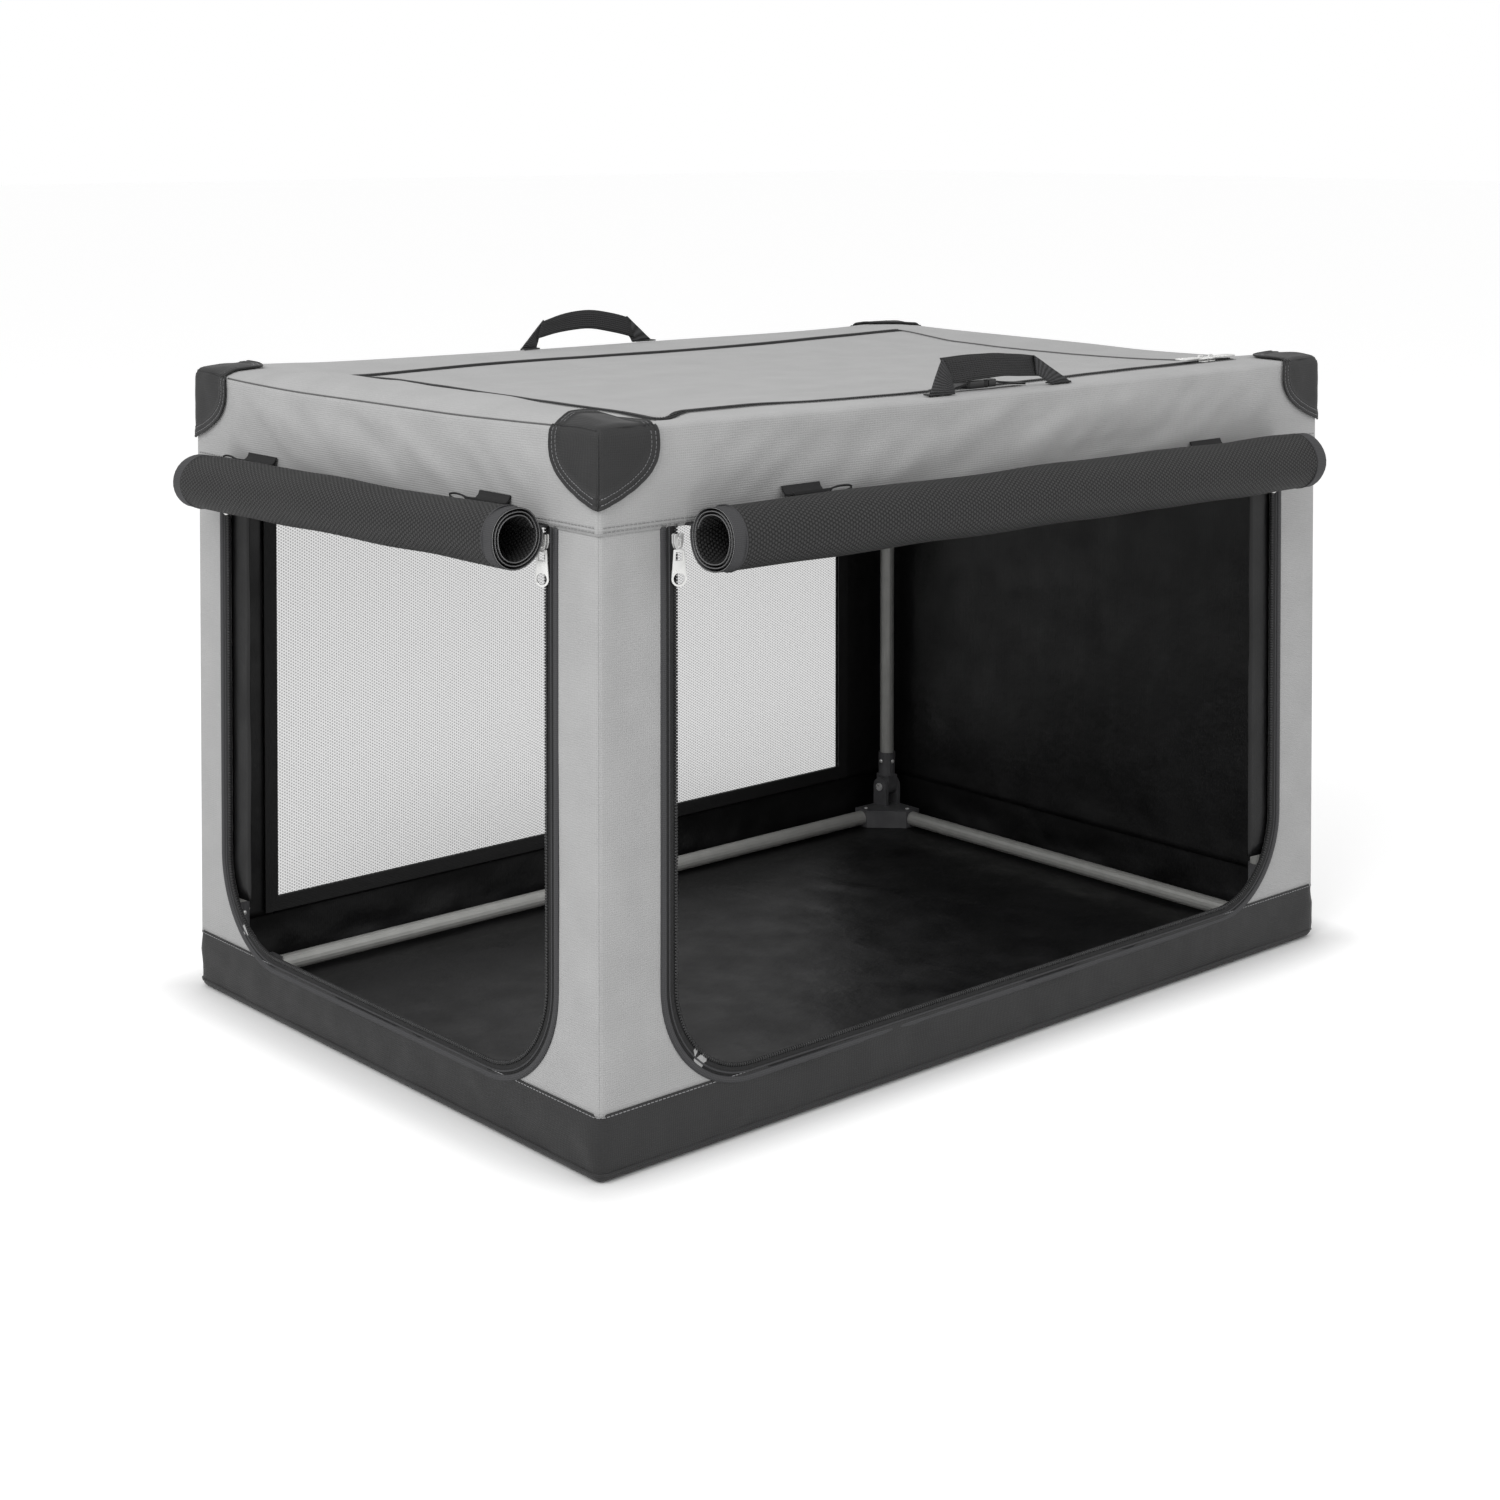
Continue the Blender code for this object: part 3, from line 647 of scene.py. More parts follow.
# The roof's rise above its seam in mm: a taut crest along the left end, slack towards the hinge
roofAcross = [-0.4583, -0.444, -0.425, -0.408, -0.385, -0.3515, -0.33, -0.27, -0.18, -0.05, 0.11, 0.29,
              0.3825, 0.42, 0.4583]
roofRise = [
    (-0.3083, [1.5, 2.0, 2.0, 1.9, 1.7, 1.6, 1.4, 1.0, 0.2, -0.8, -0.5, 0.0, 0.4, 1.0, 2.0]),
    (-0.2900, [2.0, 5.0, 3.6, 1.6, 1.2, 1.2, 1.2, 1.0, 0.4, -0.4, -0.2, 0.4, 0.8, 1.6, 3.0]),
    (-0.2565, [1.5, 7.5, 7.0, 0.5, -2.5, -4.0, 1.6, 1.5, -1.2, -2.4, -1.6, 0.4, 0.8, 1.0, 2.0]),
    (-0.2000, [0.0, 6.5, 8.0, 6.0, 0.8, -2.4, -3.4, -3.0, -3.0, -4.0, -4.0, -3.0, -4.6, -3.5, -4.0]),
    (-0.1000, [-1.9, 5.5, 8.5, 8.6, 2.6, -2.2, -3.4, -3.5, -3.5, -4.0, -5.0, -6.0, -8.0, -6.0, -5.2]),
    (0.0000, [-2.2, 6.0, 9.5, 9.4, 3.2, -1.6, -3.0, -3.5, -3.5, -4.0, -5.0, -7.0, -8.6, -5.5, -3.2]),
    (0.1200, [-2.7, 6.0, 9.5, 9.0, 3.2, -0.8, -2.6, -3.0, -3.0, -3.0, -4.0, -5.0, -6.2, -3.5, -1.8]),
    (0.2115, [-1.0, 5.0, 7.0, 6.0, 1.0, -2.6, -4.0, -3.0, -1.5, -2.5, -3.0, -0.5, 1.0, 0.8, -0.6]),
    (0.2600, [1.0, 4.5, 5.0, 4.0, 2.5, 1.5, 1.0, 0.8, 0.6, 0.4, 0.4, 0.6, 1.4, 2.4, 0.8]),
    (0.2850, [3.0, 5.0, 5.5, 5.5, 4.0, 3.0, 2.2, 1.4, 0.8, 0.3, 0.2, 0.2, 1.4, 3.0, 1.8]),
    (0.3083, [4.2, 5.0, 5.5, 6.2, 4.8, 3.6, 2.6, 1.4, 0.4, -0.7, -1.0, -1.8, -1.0, 0.4, 1.5]),
]
roofAlong = [row[0] for row in roofRise]


def through(stations, values, at):
    # A smooth curve through the values that never swings past them
    at = min(max(at, stations[0]), stations[-1])
    i = next(k for k in range(len(stations) - 1) if at <= stations[k + 1])

    def slope(k):
        if k == 0 or k == len(values) - 1:
            return 0.0
        before = (values[k] - values[k - 1]) / (stations[k] - stations[k - 1])
        after = (values[k + 1] - values[k]) / (stations[k + 1] - stations[k])
        return 2 * before * after / (before + after) if before * after > 0 else 0.0
    wide = stations[i + 1] - stations[i]
    t = (at - stations[i]) / wide
    first, second = slope(i) * wide, slope(i + 1) * wide
    bend = first + second + 2 * (values[i] - values[i + 1])
    return values[i] + t * (first + t * (values[i + 1] - values[i] - first - bend + t * bend))


def roofHeight(x, y):
    rises = [through(roofAcross, row[1], x) for row in roofRise]
    height = roof["seam"] + 0.001 * through(roofAlong, rises, y)
    near = min(roofHalf["x"] - abs(x), roofHalf["y"] - abs(y))
    zipY = roofZip["low"] if y < 0 else roofZip["high"]
    byZip = abs(y - zipY) if x > roofZip["bottom"] else 1.0
    byZip = min(byZip, abs(x - roofZip["bottom"]), abs(x - roofZip["top"]))
    calm = ease(0.004, 0.03, near) * (0.2 + 0.8 * ease(0.004, 0.03, byZip))
    fold = ripple(x / 0.12, y / 0.05, 0, 11) + 0.5 * ripple(x / 0.05, y / 0.03, 0, 12)
    return height + roof["wrinkle"] * calm * fold


def foldEdge(t, half):
    # Flat, then round the edge, then straight down
    flat = half - roof["radius"]
    over = abs(t) - flat
    if over <= 0:
        return t, 0.0
    arcLength = roof["radius"] * math.pi / 2
    if over <= arcLength:
        a = over / roof["radius"]
        return math.copysign(flat + roof["radius"] * math.sin(a), t), roof["radius"] * (1 - math.cos(a))
    return math.copysign(half, t), roof["radius"] + over - arcLength


def headerOut(along, drop, half, seed):
    # How far the header stands off its plane: a soft belly, with creases that fade at both seams
    belly = math.sin(math.pi * min(1, drop / roof["drop"])) * 0.0024
    slant = along + drop * 1.3
    fold = ripple(slant / 0.08, drop / 0.045, 0, seed) + 0.5 * ripple(slant / 0.03, drop / 0.035, 0, seed + 1)
    calm = ease(0.0, 0.02, drop) * ease(0, 0.022, roof["drop"] - drop)
    # Held flat under the corner guards
    return (belly + 0.0036 * fold * calm) * ease(0.048, 0.11, half - abs(along))


def roofPlace(u, v):
    flatX, flatY = roofHalf["x"] - roof["radius"], roofHalf["y"] - roof["radius"]
    overX, overY = abs(u) - flatX, abs(v) - flatY
    x, dropX = foldEdge(u, roofHalf["x"])
    y, dropY = foldEdge(v, roofHalf["y"])
    inward = Vector((0, 0, 0))
    if overX > 0 and overY > 0:
        # At an upright corner the narrower overlap wraps sideways instead of down
        if overY > overX:
            a = overX / roof["radius"]
            x, dropX = math.copysign(flatX + roof["radius"] * math.sin(a), u), 0.0
            inward.y = -math.copysign(roof["radius"] * (1 - math.cos(a)), v)
        else:
            a = overY / roof["radius"]
            y, dropY = math.copysign(flatY + roof["radius"] * math.sin(a), v), 0.0
            inward.x = -math.copysign(roof["radius"] * (1 - math.cos(a)), u)
    drop = dropX + dropY
    top = roofHeight(x, y)
    height = roof["seam"] + (top - roof["seam"]) * (1 - ease(0, 0.05, drop)) - drop
    out = Vector((0, 0, 0))
    if dropY > dropX:
        out.y = math.copysign(headerOut(x, dropY, halfLength, 20 + (v > 0)), v)
    elif dropX > 0:
        out.x = math.copysign(headerOut(y, dropX, halfWidth, 24 + (u > 0)), u)
    return Vector((x, y, height)) + inward + out


def roofLines(half, low, high):
    flat = half - roof["radius"]
    arcLength = roof["radius"] * math.pi / 2
    end = flat + arcLength + roof["drop"] - roof["radius"]
    runs = [(low, high, roof["cell"])]
    for side, inner in ((-1, low), (1, high)):
        runs += [(side * end, side * (flat + arcLength), 0.0055),
                 (side * (flat + arcLength), side * flat, arcLength / 4), (side * flat, inner, 0.005)]
    return lines(*runs)


us = roofLines(roofHalf["x"], roofZip["bottom"] - roof["track"], roofZip["top"])
vs = roofLines(roofHalf["y"], roofZip["low"] - roof["track"], roofZip["high"] + roof["track"])
cap = flatGrid(us, vs)
quarter = roof["radius"] * math.pi / 4
limitX, limitY = roofHalf["x"] - roof["radius"] + quarter, roofHalf["y"] - roof["radius"] + quarter
removeWhere(cap, lambda m: abs(m.x) > limitX and abs(m.y) > limitY)
hole = {"low": roofZip["low"] - roof["track"], "high": roofZip["high"] + roof["track"],
        "bottom": roofZip["bottom"] - roof["track"], "top": roofZip["top"],
        "radius": roofZip["radius"] + roof["track"]}
removeWhere(cap, lambda m: insideU(hole, m.y, m.x) and m.x < hole["top"])
marks = [Vector(uPoint(hole, s)[:2]) for s in steps(0, uLength(hole), 0.002)]
for vert in cap.verts:
    x, y, _ = vert.co
    if vert.is_boundary and abs(x) < 0.42 and abs(y) < 0.28 and x < hole["top"] - 0.001:
        here = Vector((y, x))
        nearest = min(marks, key=lambda mark: (mark - here).length_squared)
        vert.co.x, vert.co.y = nearest.y, nearest.x
capArea = sum(face.calc_area() for face in cap.faces)
mapCloth(cap, roofPlace)
capPiece = settle(addPiece("roof_and_header", cap, [greyCanvas, lining],
                           replaces=("roof_border",), thickness=cover["cloth"]))

# Zipped roof flap: it sags a little between its zips
flap = {"sag": 0.0008, "gap": 0.0003}
flapUs = steps(roofZip["bottom"] + roof["track"], roofZip["top"] - flap["gap"], 0.009)
flapVs = steps(roofZip["low"] + roof["track"], roofZip["high"] - roof["track"], 0.009)


def flapPlace(x, y):
    near = min(x - flapUs[0], flapUs[-1] - x, y - flapVs[0], flapVs[-1] - y)
    fold = ripple(x / 0.2, y / 0.045, 0, 31) + 0.4 * ripple(x / 0.07, y / 0.03, 0, 32)
    return Vector((x, y, roofHeight(x, y) + (0.0022 * fold - flap["sag"]) * ease(0.0, 0.09, near)))


flapShape = flatGrid(flapUs, flapVs)
mapCloth(flapShape, flapPlace, shift=(3, 0))
flapPiece = settle(addPiece("roof_flap_cloth", flapShape, [greyCanvas, lining],
                            body="roof_flap", replaces=("roof_flap",), thickness=cover["cloth"]))
print("roof made")

# Base band in charcoal canvas and floor in black coated lining, with a corded seam near the ground
base = {"corner": 0.007, "seam": 0.0075, "cord": 0.0013, "stitchAt": 0.0525,
        "stitch": (0.0028, 0.0012, 0.0008, 0.0005)}


def roundRect(s, halfX, halfY, radius):
    # A point on a rounded rectangle and the direction out of it, going round from the middle of the front
    sides = [(2 * (halfX - radius), xAxis, -yAxis), (2 * (halfY - radius), yAxis, xAxis),
             (2 * (halfX - radius), -xAxis, yAxis), (2 * (halfY - radius), -yAxis, -xAxis)]
    turn = radius * math.pi / 2
    for length, along, out in sides:
        corner = Vector((out.x * halfX, out.y * halfY, 0))
        if s <= length:
            return corner + along * (s - length / 2), out
        s -= length
        if s <= turn:
            a = s / radius
            centre = corner + along * (length / 2) - out * radius
            way = out * math.cos(a) + along * math.sin(a)
            return centre + way * radius, way
        s -= turn
    return Vector((-(halfX - radius), -halfY, 0)), -yAxis


bandAround = 4 * (halfLength + halfWidth) - 8 * base["corner"] + 2 * math.pi * base["corner"]
bandProfile = [(-0.0062, 0.0006), (-0.0040, 0.0008), (-0.0018, 0.0020), (0.0002, 0.0046),
               (0.0008, 0.0080), (0.0014, 0.014), (0.0020, 0.021), (0.0022, 0.028), (0.0020, 0.035),
               (0.0014, 0.042), (0.0010, 0.048), (0.0008, 0.0528), (0.0004, 0.0546)]


def bandPlace(s, j):
    out, height = bandProfile[round(j)]
    point, way = roundRect(s, halfLength, halfWidth, base["corner"])
    calm = ease(0.004, 0.016, height) * ease(0.0546, 0.040, height)
    fold = ripple(point.x / 0.09, point.y / 0.09, height / 0.03, 41) * 0.003
    fold += ripple(point.x / 0.025, point.y / 0.025, height / 0.02, 42) * 0.0016
    point = point + way * (out + fold * calm)
    point.z = height
    return point


bandCount = round(bandAround / 0.006)
bandPlaces = [bandAround * i / bandCount for i in range(bandCount + 1)]
band = flatGrid(bandPlaces, list(range(len(bandProfile))))
bandHeight = running(bandProfile)
writeCut(band, lambda x, y: (x, bandHeight[round(y)]))
for vert in band.verts:
    vert.co = bandPlace(vert.co.x, vert.co.y)
bmesh.ops.remove_doubles(band, verts=band.verts, dist=0.00001)
faceAway(band, Vector((0, 0, 0.03)))
bandPiece = addPiece("base_band", band, [charcoalCanvas, lining], replaces=("base_tray",),
                     thickness=0.0012)

floorEdgeX, floorEdgeY = halfLength - 0.006, halfWidth - 0.006


def floorPlace(x, y):
    near = min(floorEdgeX - abs(x), floorEdgeY - abs(y))
    fold = ripple(x / 0.2, y / 0.16, 0, 51) + 0.6 * ripple(x / 0.07, y / 0.09, 0, 52)
    ridges = 0.0
    for centre, turn, width in ((0.08, 0.15, 0.010), (-0.16, -0.2, 0.008), (0.25, 0.35, 0.012)):
        ridge = math.exp(-((x + y * turn - centre) / width) ** 2)
        ridges += ridge * ease(-0.2, 0.1, ripple(y / 0.2, centre * 9, 0, 53))
    return Vector((x, y, 0.0019 + ease(0.045, 0.09, near) * (0.0018 + 0.0022 * fold + 0.0022 * ridges)))


floorShape = flatGrid(steps(-floorEdgeX, floorEdgeX, 0.009), steps(-floorEdgeY, floorEdgeY, 0.009))
mapCloth(floorShape, floorPlace, away=Vector((0, 0, -3)))
floorPiece = addPiece("tray_floor", floorShape, [lining], replaces=("base_tray",),
                      thickness=0.0014)


def bandLine(offset, height):
    def frameAt(s):
        point, way = roundRect(s, halfLength, halfWidth, base["corner"])
        return point + way * offset + Vector((0, 0, height)), zAxis, way
    return frameAt


def circle(radius, count=10, squash=1.0):
    return [(radius * math.cos(math.tau * i / count), radius * squash * math.sin(math.tau * i / count))
            for i in range(count)]


cordFrames = [bandLine(0.0006, base["seam"])(s) for s in bandPlaces]
addPiece("base_cord", sweep(cordFrames, circle(base["cord"]), loop=True), [charcoalCanvas])
bandStitches = dashes([(bandLine(0.0008, base["stitchAt"]), bandAround)], *base["stitch"])
addPiece("base_stitching", bandStitches, [blackThread], thickness=0.0003)
print("base made")

# Door zips: teeth at the opening's edge, tape, and a rolled binding outside them
doorZip = {"tape": 0.0112, "bindingAt": 0.0128, "bindingHalf": 0.0029, "bindingHigh": 0.0017,
           "welt": 0.0072, "weltRadius": 0.0008, "tooth": (0.0015, 0.0010, 0.0036, 0.0016)}


def addDoorZip(name, line, plane):
    frames = uFrames(line, plane, steps(0, uLength(line), 0.004))
    wide = doorZip["tape"]
    tapeSection = [(-0.0004, -0.0012), (wide, -0.0012), (wide, 0.0007), (wide * 0.5, 0.0010),
                   (0.0012, 0.0009), (-0.0004, 0.0005)]
    settle(addPiece(name + "_tape", sweep(frames, tapeSection), [zipTape]))
    flatness = doorZip["bindingHigh"] / doorZip["bindingHalf"]
    ridge = [(doorZip["bindingAt"] + a, b + 0.0005) for a, b in circle(doorZip["bindingHalf"], 14, flatness)]
    settle(addPiece(name + "_binding", sweep(frames, ridge), [binding]))
    welt = [(doorZip["welt"] + a, b + 0.0009) for a, b in circle(doorZip["weltRadius"], 8)]
    settle(addPiece(name + "_welt", sweep(frames, welt), [binding]))

    def toothAt(s):
        return uFrames(line, plane, [s], 0.0006, 0.0008)[0]

    teeth = dashes([(toothAt, uLength(line, 0.0006))], *doorZip["tooth"])
    settle(addPiece(name + "_teeth", teeth, [nylonCoil], thickness=0.0012))


addDoorZip("front_zip", frontDoor, onFront)
addDoorZip("left_zip", leftDoor, onLeft)

# Lining strips behind the zips at the doors' far sides
facing = {"wide": 0.026, "over": 0.004, "low": 0.098, "high": 0.5085, "depth": 0.0034, "slack": 0.0022,
          "wrinkle": 0.0016}


def addFacing(name, plane, edge):
    strip = flatGrid(steps(edge - facing["wide"], edge + facing["over"], 0.006),
                     steps(facing["low"], facing["high"], 0.012))

    def place(u, w):
        free = ease(0, facing["wide"], edge - u)
        slack = facing["slack"] * free + facing["wrinkle"] * free * ripple(u / 0.05, w / 0.09, 0, 57)
        return plane(u, w, -facing["depth"] - slack)
    mapCloth(strip, place)
    piece = settle(addPiece(name, strip, [lining], thickness=0.0008))


addFacing("front_door_facing", onFront, frontDoor["high"])
addFacing("left_door_facing", onLeft, leftDoor["high"])

# Roof zip in two halves, one on the border and one on the flap
roofTape = {"half": 0.0066, "high": 0.0009, "tooth": (0.0015, 0.0010, 0.0022, 0.0012)}


def roofFrame(s, offset=0.0, lift=0.0):
    u, w, nu, nw = uPoint(roofZip, s, offset)
    return Vector((w, u, roofHeight(w, u) + lift)), Vector((nw, nu, 0)), zAxis


def addRoofZip(name, way, body):
    length = uLength(roofZip)
    frames = [roofFrame(s) for s in steps(0, length, 0.004)]
    far = way * roofTape["half"]
    section = [(way * 0.0002, -0.0008), (far, -0.0008), (far, 0.0006), (far * 0.6, roofTape["high"]),
               (way * 0.0010, 0.0007)]
    settle(addPiece(name + "_tape", sweep(frames, section), [zipTape], body=body))

    def rowAt(s):
        point, across, up = roofFrame(s)
        return point + across * way * 0.0011 + up * 0.0007, across, up

    teeth = dashes([(rowAt, length)], *roofTape["tooth"])
    settle(addPiece(name + "_teeth", teeth, [nylonCoil], body=body, thickness=0.0010))


addRoofZip("roof_border_zip", 1, "root")
addRoofZip("roof_flap_zip", -1, "roof_flap")
print("zips made")

# Corner guards: three rounded lobes round each top corner, double stitched
guard = {"off": 0.0030, "round": 0.0080, "thickness": 0.0013, "puff": 0.0008, "top": 0.056,
         "border": 0.0009, "rows": (0.95, 0.875), "reach": 0.06, "margin": 0.06,
         "stitch": (0.0024, 0.0010, 0.0007, 0.0004)}
# Outline of a side lobe: how far it reaches along the edge at each depth below the roof
lobe = [(0.0585, 0.0), (0.0605, 0.009), (0.0610, 0.018), (0.0590, 0.0275), (0.0525, 0.0370),
        (0.0420, 0.0450), (0.0290, 0.0520), (0.0145, 0.0580), (0.0, 0.0625)]


def lobeReach(phi):
    for (a, b), (c, d) in zip(lobe, lobe[1:]):
        start, end = math.atan2(b, a), math.atan2(d, c)
        if phi <= end + 1e-6:
            share = (phi - start) / (end - start)
            return math.hypot(a, b) * (1 - share) + math.hypot(c, d) * share
    return lobe[-1][1]


def guardPoint(rho, phi, face):
    # Distances in from the corner's three planes, rounded over the edges between them
    reach = guard["top"] / (math.cos(phi) ** 4 + math.sin(phi) ** 4) ** 0.25
    if face == 0:
        reach = lobeReach(phi)
    elif face == 1:
        reach = lobeReach(math.pi / 2 - phi)
    a, b = rho * reach * math.cos(phi), rho * reach * math.sin(phi)
    flat = [0.0, 0.0, 0.0]
    flat[(face + 1) % 3], flat[(face + 2) % 3] = a, b
    core = [max(value, guard["round"]) for value in flat]
    way = Vector(flat) - Vector(core)
    way.normalize()
    pucker = 0.6 + 1.1 * ripple(a / 0.02, b / 0.02, face, 61)
    puff = guard["puff"] * math.sin(math.pi * min(1, rho)) * pucker
    # A turned-in border, drawn down along its two rows of stitches
    puff += guard["border"] * ease(0.83, 0.85, rho) * (1 - ease(0.985, 1.0, rho))
    puff -= 0.8 * guard["border"] * sum(math.exp(-((rho - row) / 0.010) ** 2) for row in guard["rows"])
    return Vector(core) + way * (guard["round"] + puff), way


def guardWorld(side, row, local):
    x = side * (halfLength + guard["off"] - local.x)
    y = row * (halfWidth + guard["off"] - local.y)
    rise = (roofHeight(x, y) - roof["seam"]) * (1 - ease(0, 0.016, local.z))
    return Vector((x, y, roof["seam"] + guard["off"] - 0.001 + rise - local.z))


def guardFrame(side, row, face, rho, phi):
    local, way = guardPoint(rho, phi, face)
    point = guardWorld(side, row, local)
    ahead = guardWorld(side, row, guardPoint(rho, phi + 0.01, face)[0])
    up = (guardWorld(side, row, local + way * 0.001) - point).normalized()
    return point, (ahead - point).normalized().cross(up).normalized(), up


def guardRun(side, row, face, rho):
    def frameAt(s):
        return guardFrame(side, row, face, rho, guard["margin"] + s / guard["reach"])
    return frameAt, guard["reach"] * (math.pi / 2 - 2 * guard["margin"])


def addGuard(side, row, name):
    made = bmesh.new()
    for face in range(3):
        rhos = lines((0, 0.83, 0.055), (0.83, 1, 0.0115))
        shape = flatGrid(rhos, steps(0, math.pi / 2, math.pi / 48))
        writeCut(shape, lambda rho, phi: (rho * guard["reach"] * math.cos(phi) + face,
                                          rho * guard["reach"] * math.sin(phi) + side))
        for vert in shape.verts:
            vert.co = guardWorld(side, row, guardPoint(vert.co.x, vert.co.y, face)[0])
        join(made, shape)
    bmesh.ops.remove_doubles(made, verts=made.verts, dist=0.00001)
    bmesh.ops.recalc_face_normals(made, faces=made.faces)
    faceAway(made, Vector((side * 0.40, row * 0.25, 0.53)))
    piece = lower(addPiece("guard_" + name, made, [charcoalCanvas],
                           replaces=("corner_guard_" + name,), thickness=guard["thickness"]))
    runs = [guardRun(side, row, face, rho) for face in range(3) for rho in guard["rows"]]
    lower(addPiece("guard_stitching_" + name, dashes(runs, *guard["stitch"]), [blackThread],
                   thickness=0.0003))
    hems = bmesh.new()
    for face in range(3):
        rim = [guardFrame(side, row, face, 0.992, phi) for phi in steps(0.0, math.pi / 2, 0.05)]
        join(hems, sweep(rim, circle(0.0011, 8)))
    # Seams where the three lobes meet
    for face, phi in ((0, 0.0), (0, math.pi / 2), (1, 0.0)):
        seam = []
        for rho in steps(0.06, 0.97, 0.07):
            point, across, up = guardFrame(side, row, face, rho, phi + 0.001)
            seam.append((point, up.cross(across).normalized(), up))
        join(hems, sweep(seam, circle(0.0006, 6)))
    lower(addPiece("guard_hems_" + name, hems, [charcoalCanvas]))


for side, sideName in ((-1, "left"), (1, "right")):
    for row, rowName in ((-1, "front"), (1, "rear")):
        addGuard(side, row, rowName + "_" + sideName)
print("guards made")

# Rolled mesh doors, wound as the CAD winds them and sagging a little along their length
rollUp = {"sheet": 0.0012, "pitch": 0.0028, "turns": 3, "perTurn": 32, "bound": 0.013, "drop": 0.0085,
          "standoff": 0.0068}
frontRoll = {"name": "front_door_roll", "radius": 0.028, "low": -0.3715, "high": 0.3905, "plane": onFront,
             "rise": 0.0012, "fall": -0.0040}
leftRoll = {"name": "left_door_roll", "radius": 0.026, "low": -0.2465, "high": 0.2495, "plane": onLeft,
            "rise": 0.0030, "fall": -0.0040}


def rollLine(radius):
    # (out from the wall, height) along the sheet, from the header seam inwards, and the roll's centre
    centreOut = rollUp["standoff"] + radius
    centreUp = cover["headerBottom"] - rollUp["drop"]
    lead = math.asin(rollUp["drop"] / (radius - rollUp["sheet"] / 2))
    line = [(0.0009, cover["headerBottom"])]
    for i in range(rollUp["turns"] * rollUp["perTurn"] + 1):
        turn = i / rollUp["perTurn"]
        reach = radius - rollUp["sheet"] / 2 - rollUp["pitch"] * turn
        angle = turn * math.tau - lead
        line.append((centreOut - reach * math.cos(angle), centreUp - reach * math.sin(angle)))
    return line, Vector((centreOut, centreUp))


def rollShift(roll, s):
    # Lifts the near end and lowers the far one; the sag is greatest between the loops that hold it
    share = (s - roll["low"]) / (roll["high"] - roll["low"])
    return roll["rise"] + (roll["fall"] - roll["rise"]) * share + 0.0012 * ripple(s / 0.14, 0, 0, 71)


def rollPoint(roll, line, centre, s, i):
    out, up = line[i]
    away = Vector((out, up)) - centre
    free = ease(0, 5, i)
    angle = math.atan2(away.y, away.x)
    swell = 0.9 * ripple(s / 0.09, math.cos(angle), math.sin(angle), 72) * 0.0016
    squeeze = 0.018 * math.sin(2 * angle + s * 5)
    out += free * (away.x * squeeze + away.normalized().x * swell)
    up += free * (away.y * -squeeze + away.normalized().y * swell)
    return roll["plane"](s, up + free * rollShift(roll, s), out)


def addRoll(roll):
    line, centre = rollLine(roll["radius"])
    plane, low, high = roll["plane"], roll["low"], roll["high"]
    boundLow, boundHigh = low + rollUp["bound"], high - rollUp["bound"]
    spans = lines((low, boundLow, 0.0026), (boundLow, boundHigh, 0.009), (boundHigh, high, 0.0026))
    shape = flatGrid(spans, list(range(len(line))))
    along = running(line)
    writeCut(shape, lambda x, y: (x, along[round(y)]))
    # Binding on the outer turn at each end only; the inner turns there keep the darker mesh, as painted shade
    # inside the roll
    for face in shape.faces:
        s, i, _ = face.calc_center_median()
        if not boundLow < s < boundHigh and i < rollUp["perTurn"] + 2:
            face.material_index = 1
    for vert in shape.verts:
        vert.co = rollPoint(roll, line, centre, vert.co.x, round(vert.co.y))
    shape.normal_update()
    outside = [face for face in shape.faces if face.calc_center_median().z < 0.472]
    if sum(face.normal.z for face in outside) > 0:
        bmesh.ops.reverse_faces(shape, faces=shape.faces)
    piece = addPiece(roll["name"] + "_cloth", shape, [doorMesh, binding, rollRimShade],
                     replaces=(roll["name"],))
    cloth = piece.modifiers.new("thickness", "SOLIDIFY")
    cloth.thickness = rollUp["sheet"]
    cloth.offset = 0
    # Each rim face takes the next material: binding on the mesh's rims, and the near-black painted shade on
    # the binding's rims at the roll's ends
    cloth.material_offset_rim = 1
    lower(piece)
    hems = bmesh.new()
    for s in (boundLow, boundHigh):
        ring = []
        for i in range(3, rollUp["perTurn"] + 2):
            out, up = line[i]
            away = (Vector((out, up)) - centre).normalized()
            here = plane(s, up + away.y * 0.0004 + rollShift(roll, s), out + away.x * 0.0004)
            upward = (plane(s, up + away.y, out + away.x) - plane(s, up, out)).normalized()
            ring.append((here, heading(plane, 1, 0, 0), upward))
        join(hems, sweep(ring, circle(0.0008, 6)))
    lower(addPiece(roll["name"] + "_seams", hems, [binding]))
    # Thread edging at both ends, which shows each turn of the roll
    edging = bmesh.new()
    for s, way in ((low, -1), (high, 1)):
        outward = heading(plane, way, 0, 0).normalized()
        points = [rollPoint(roll, line, centre, s, i) for i in range(1, len(line))]
        rim = []
        for i in range(1, len(points)):
            run = (points[min(i + 1, len(points) - 1)] - points[i - 1]).normalized()
            rim.append((points[i] + outward * 0.0002, outward, outward.cross(run).normalized()))
        join(edging, sweep(rim, circle(0.0003, 6)))
    lower(addPiece(roll["name"] + "_edging", edging, [edgeThread]))


addRoll(frontRoll)
addRoll(leftRoll)

# Short tabs above the rolls, each with a thin elastic loop
tabs = {"thick": 0.0022, "cord": 0.0009}


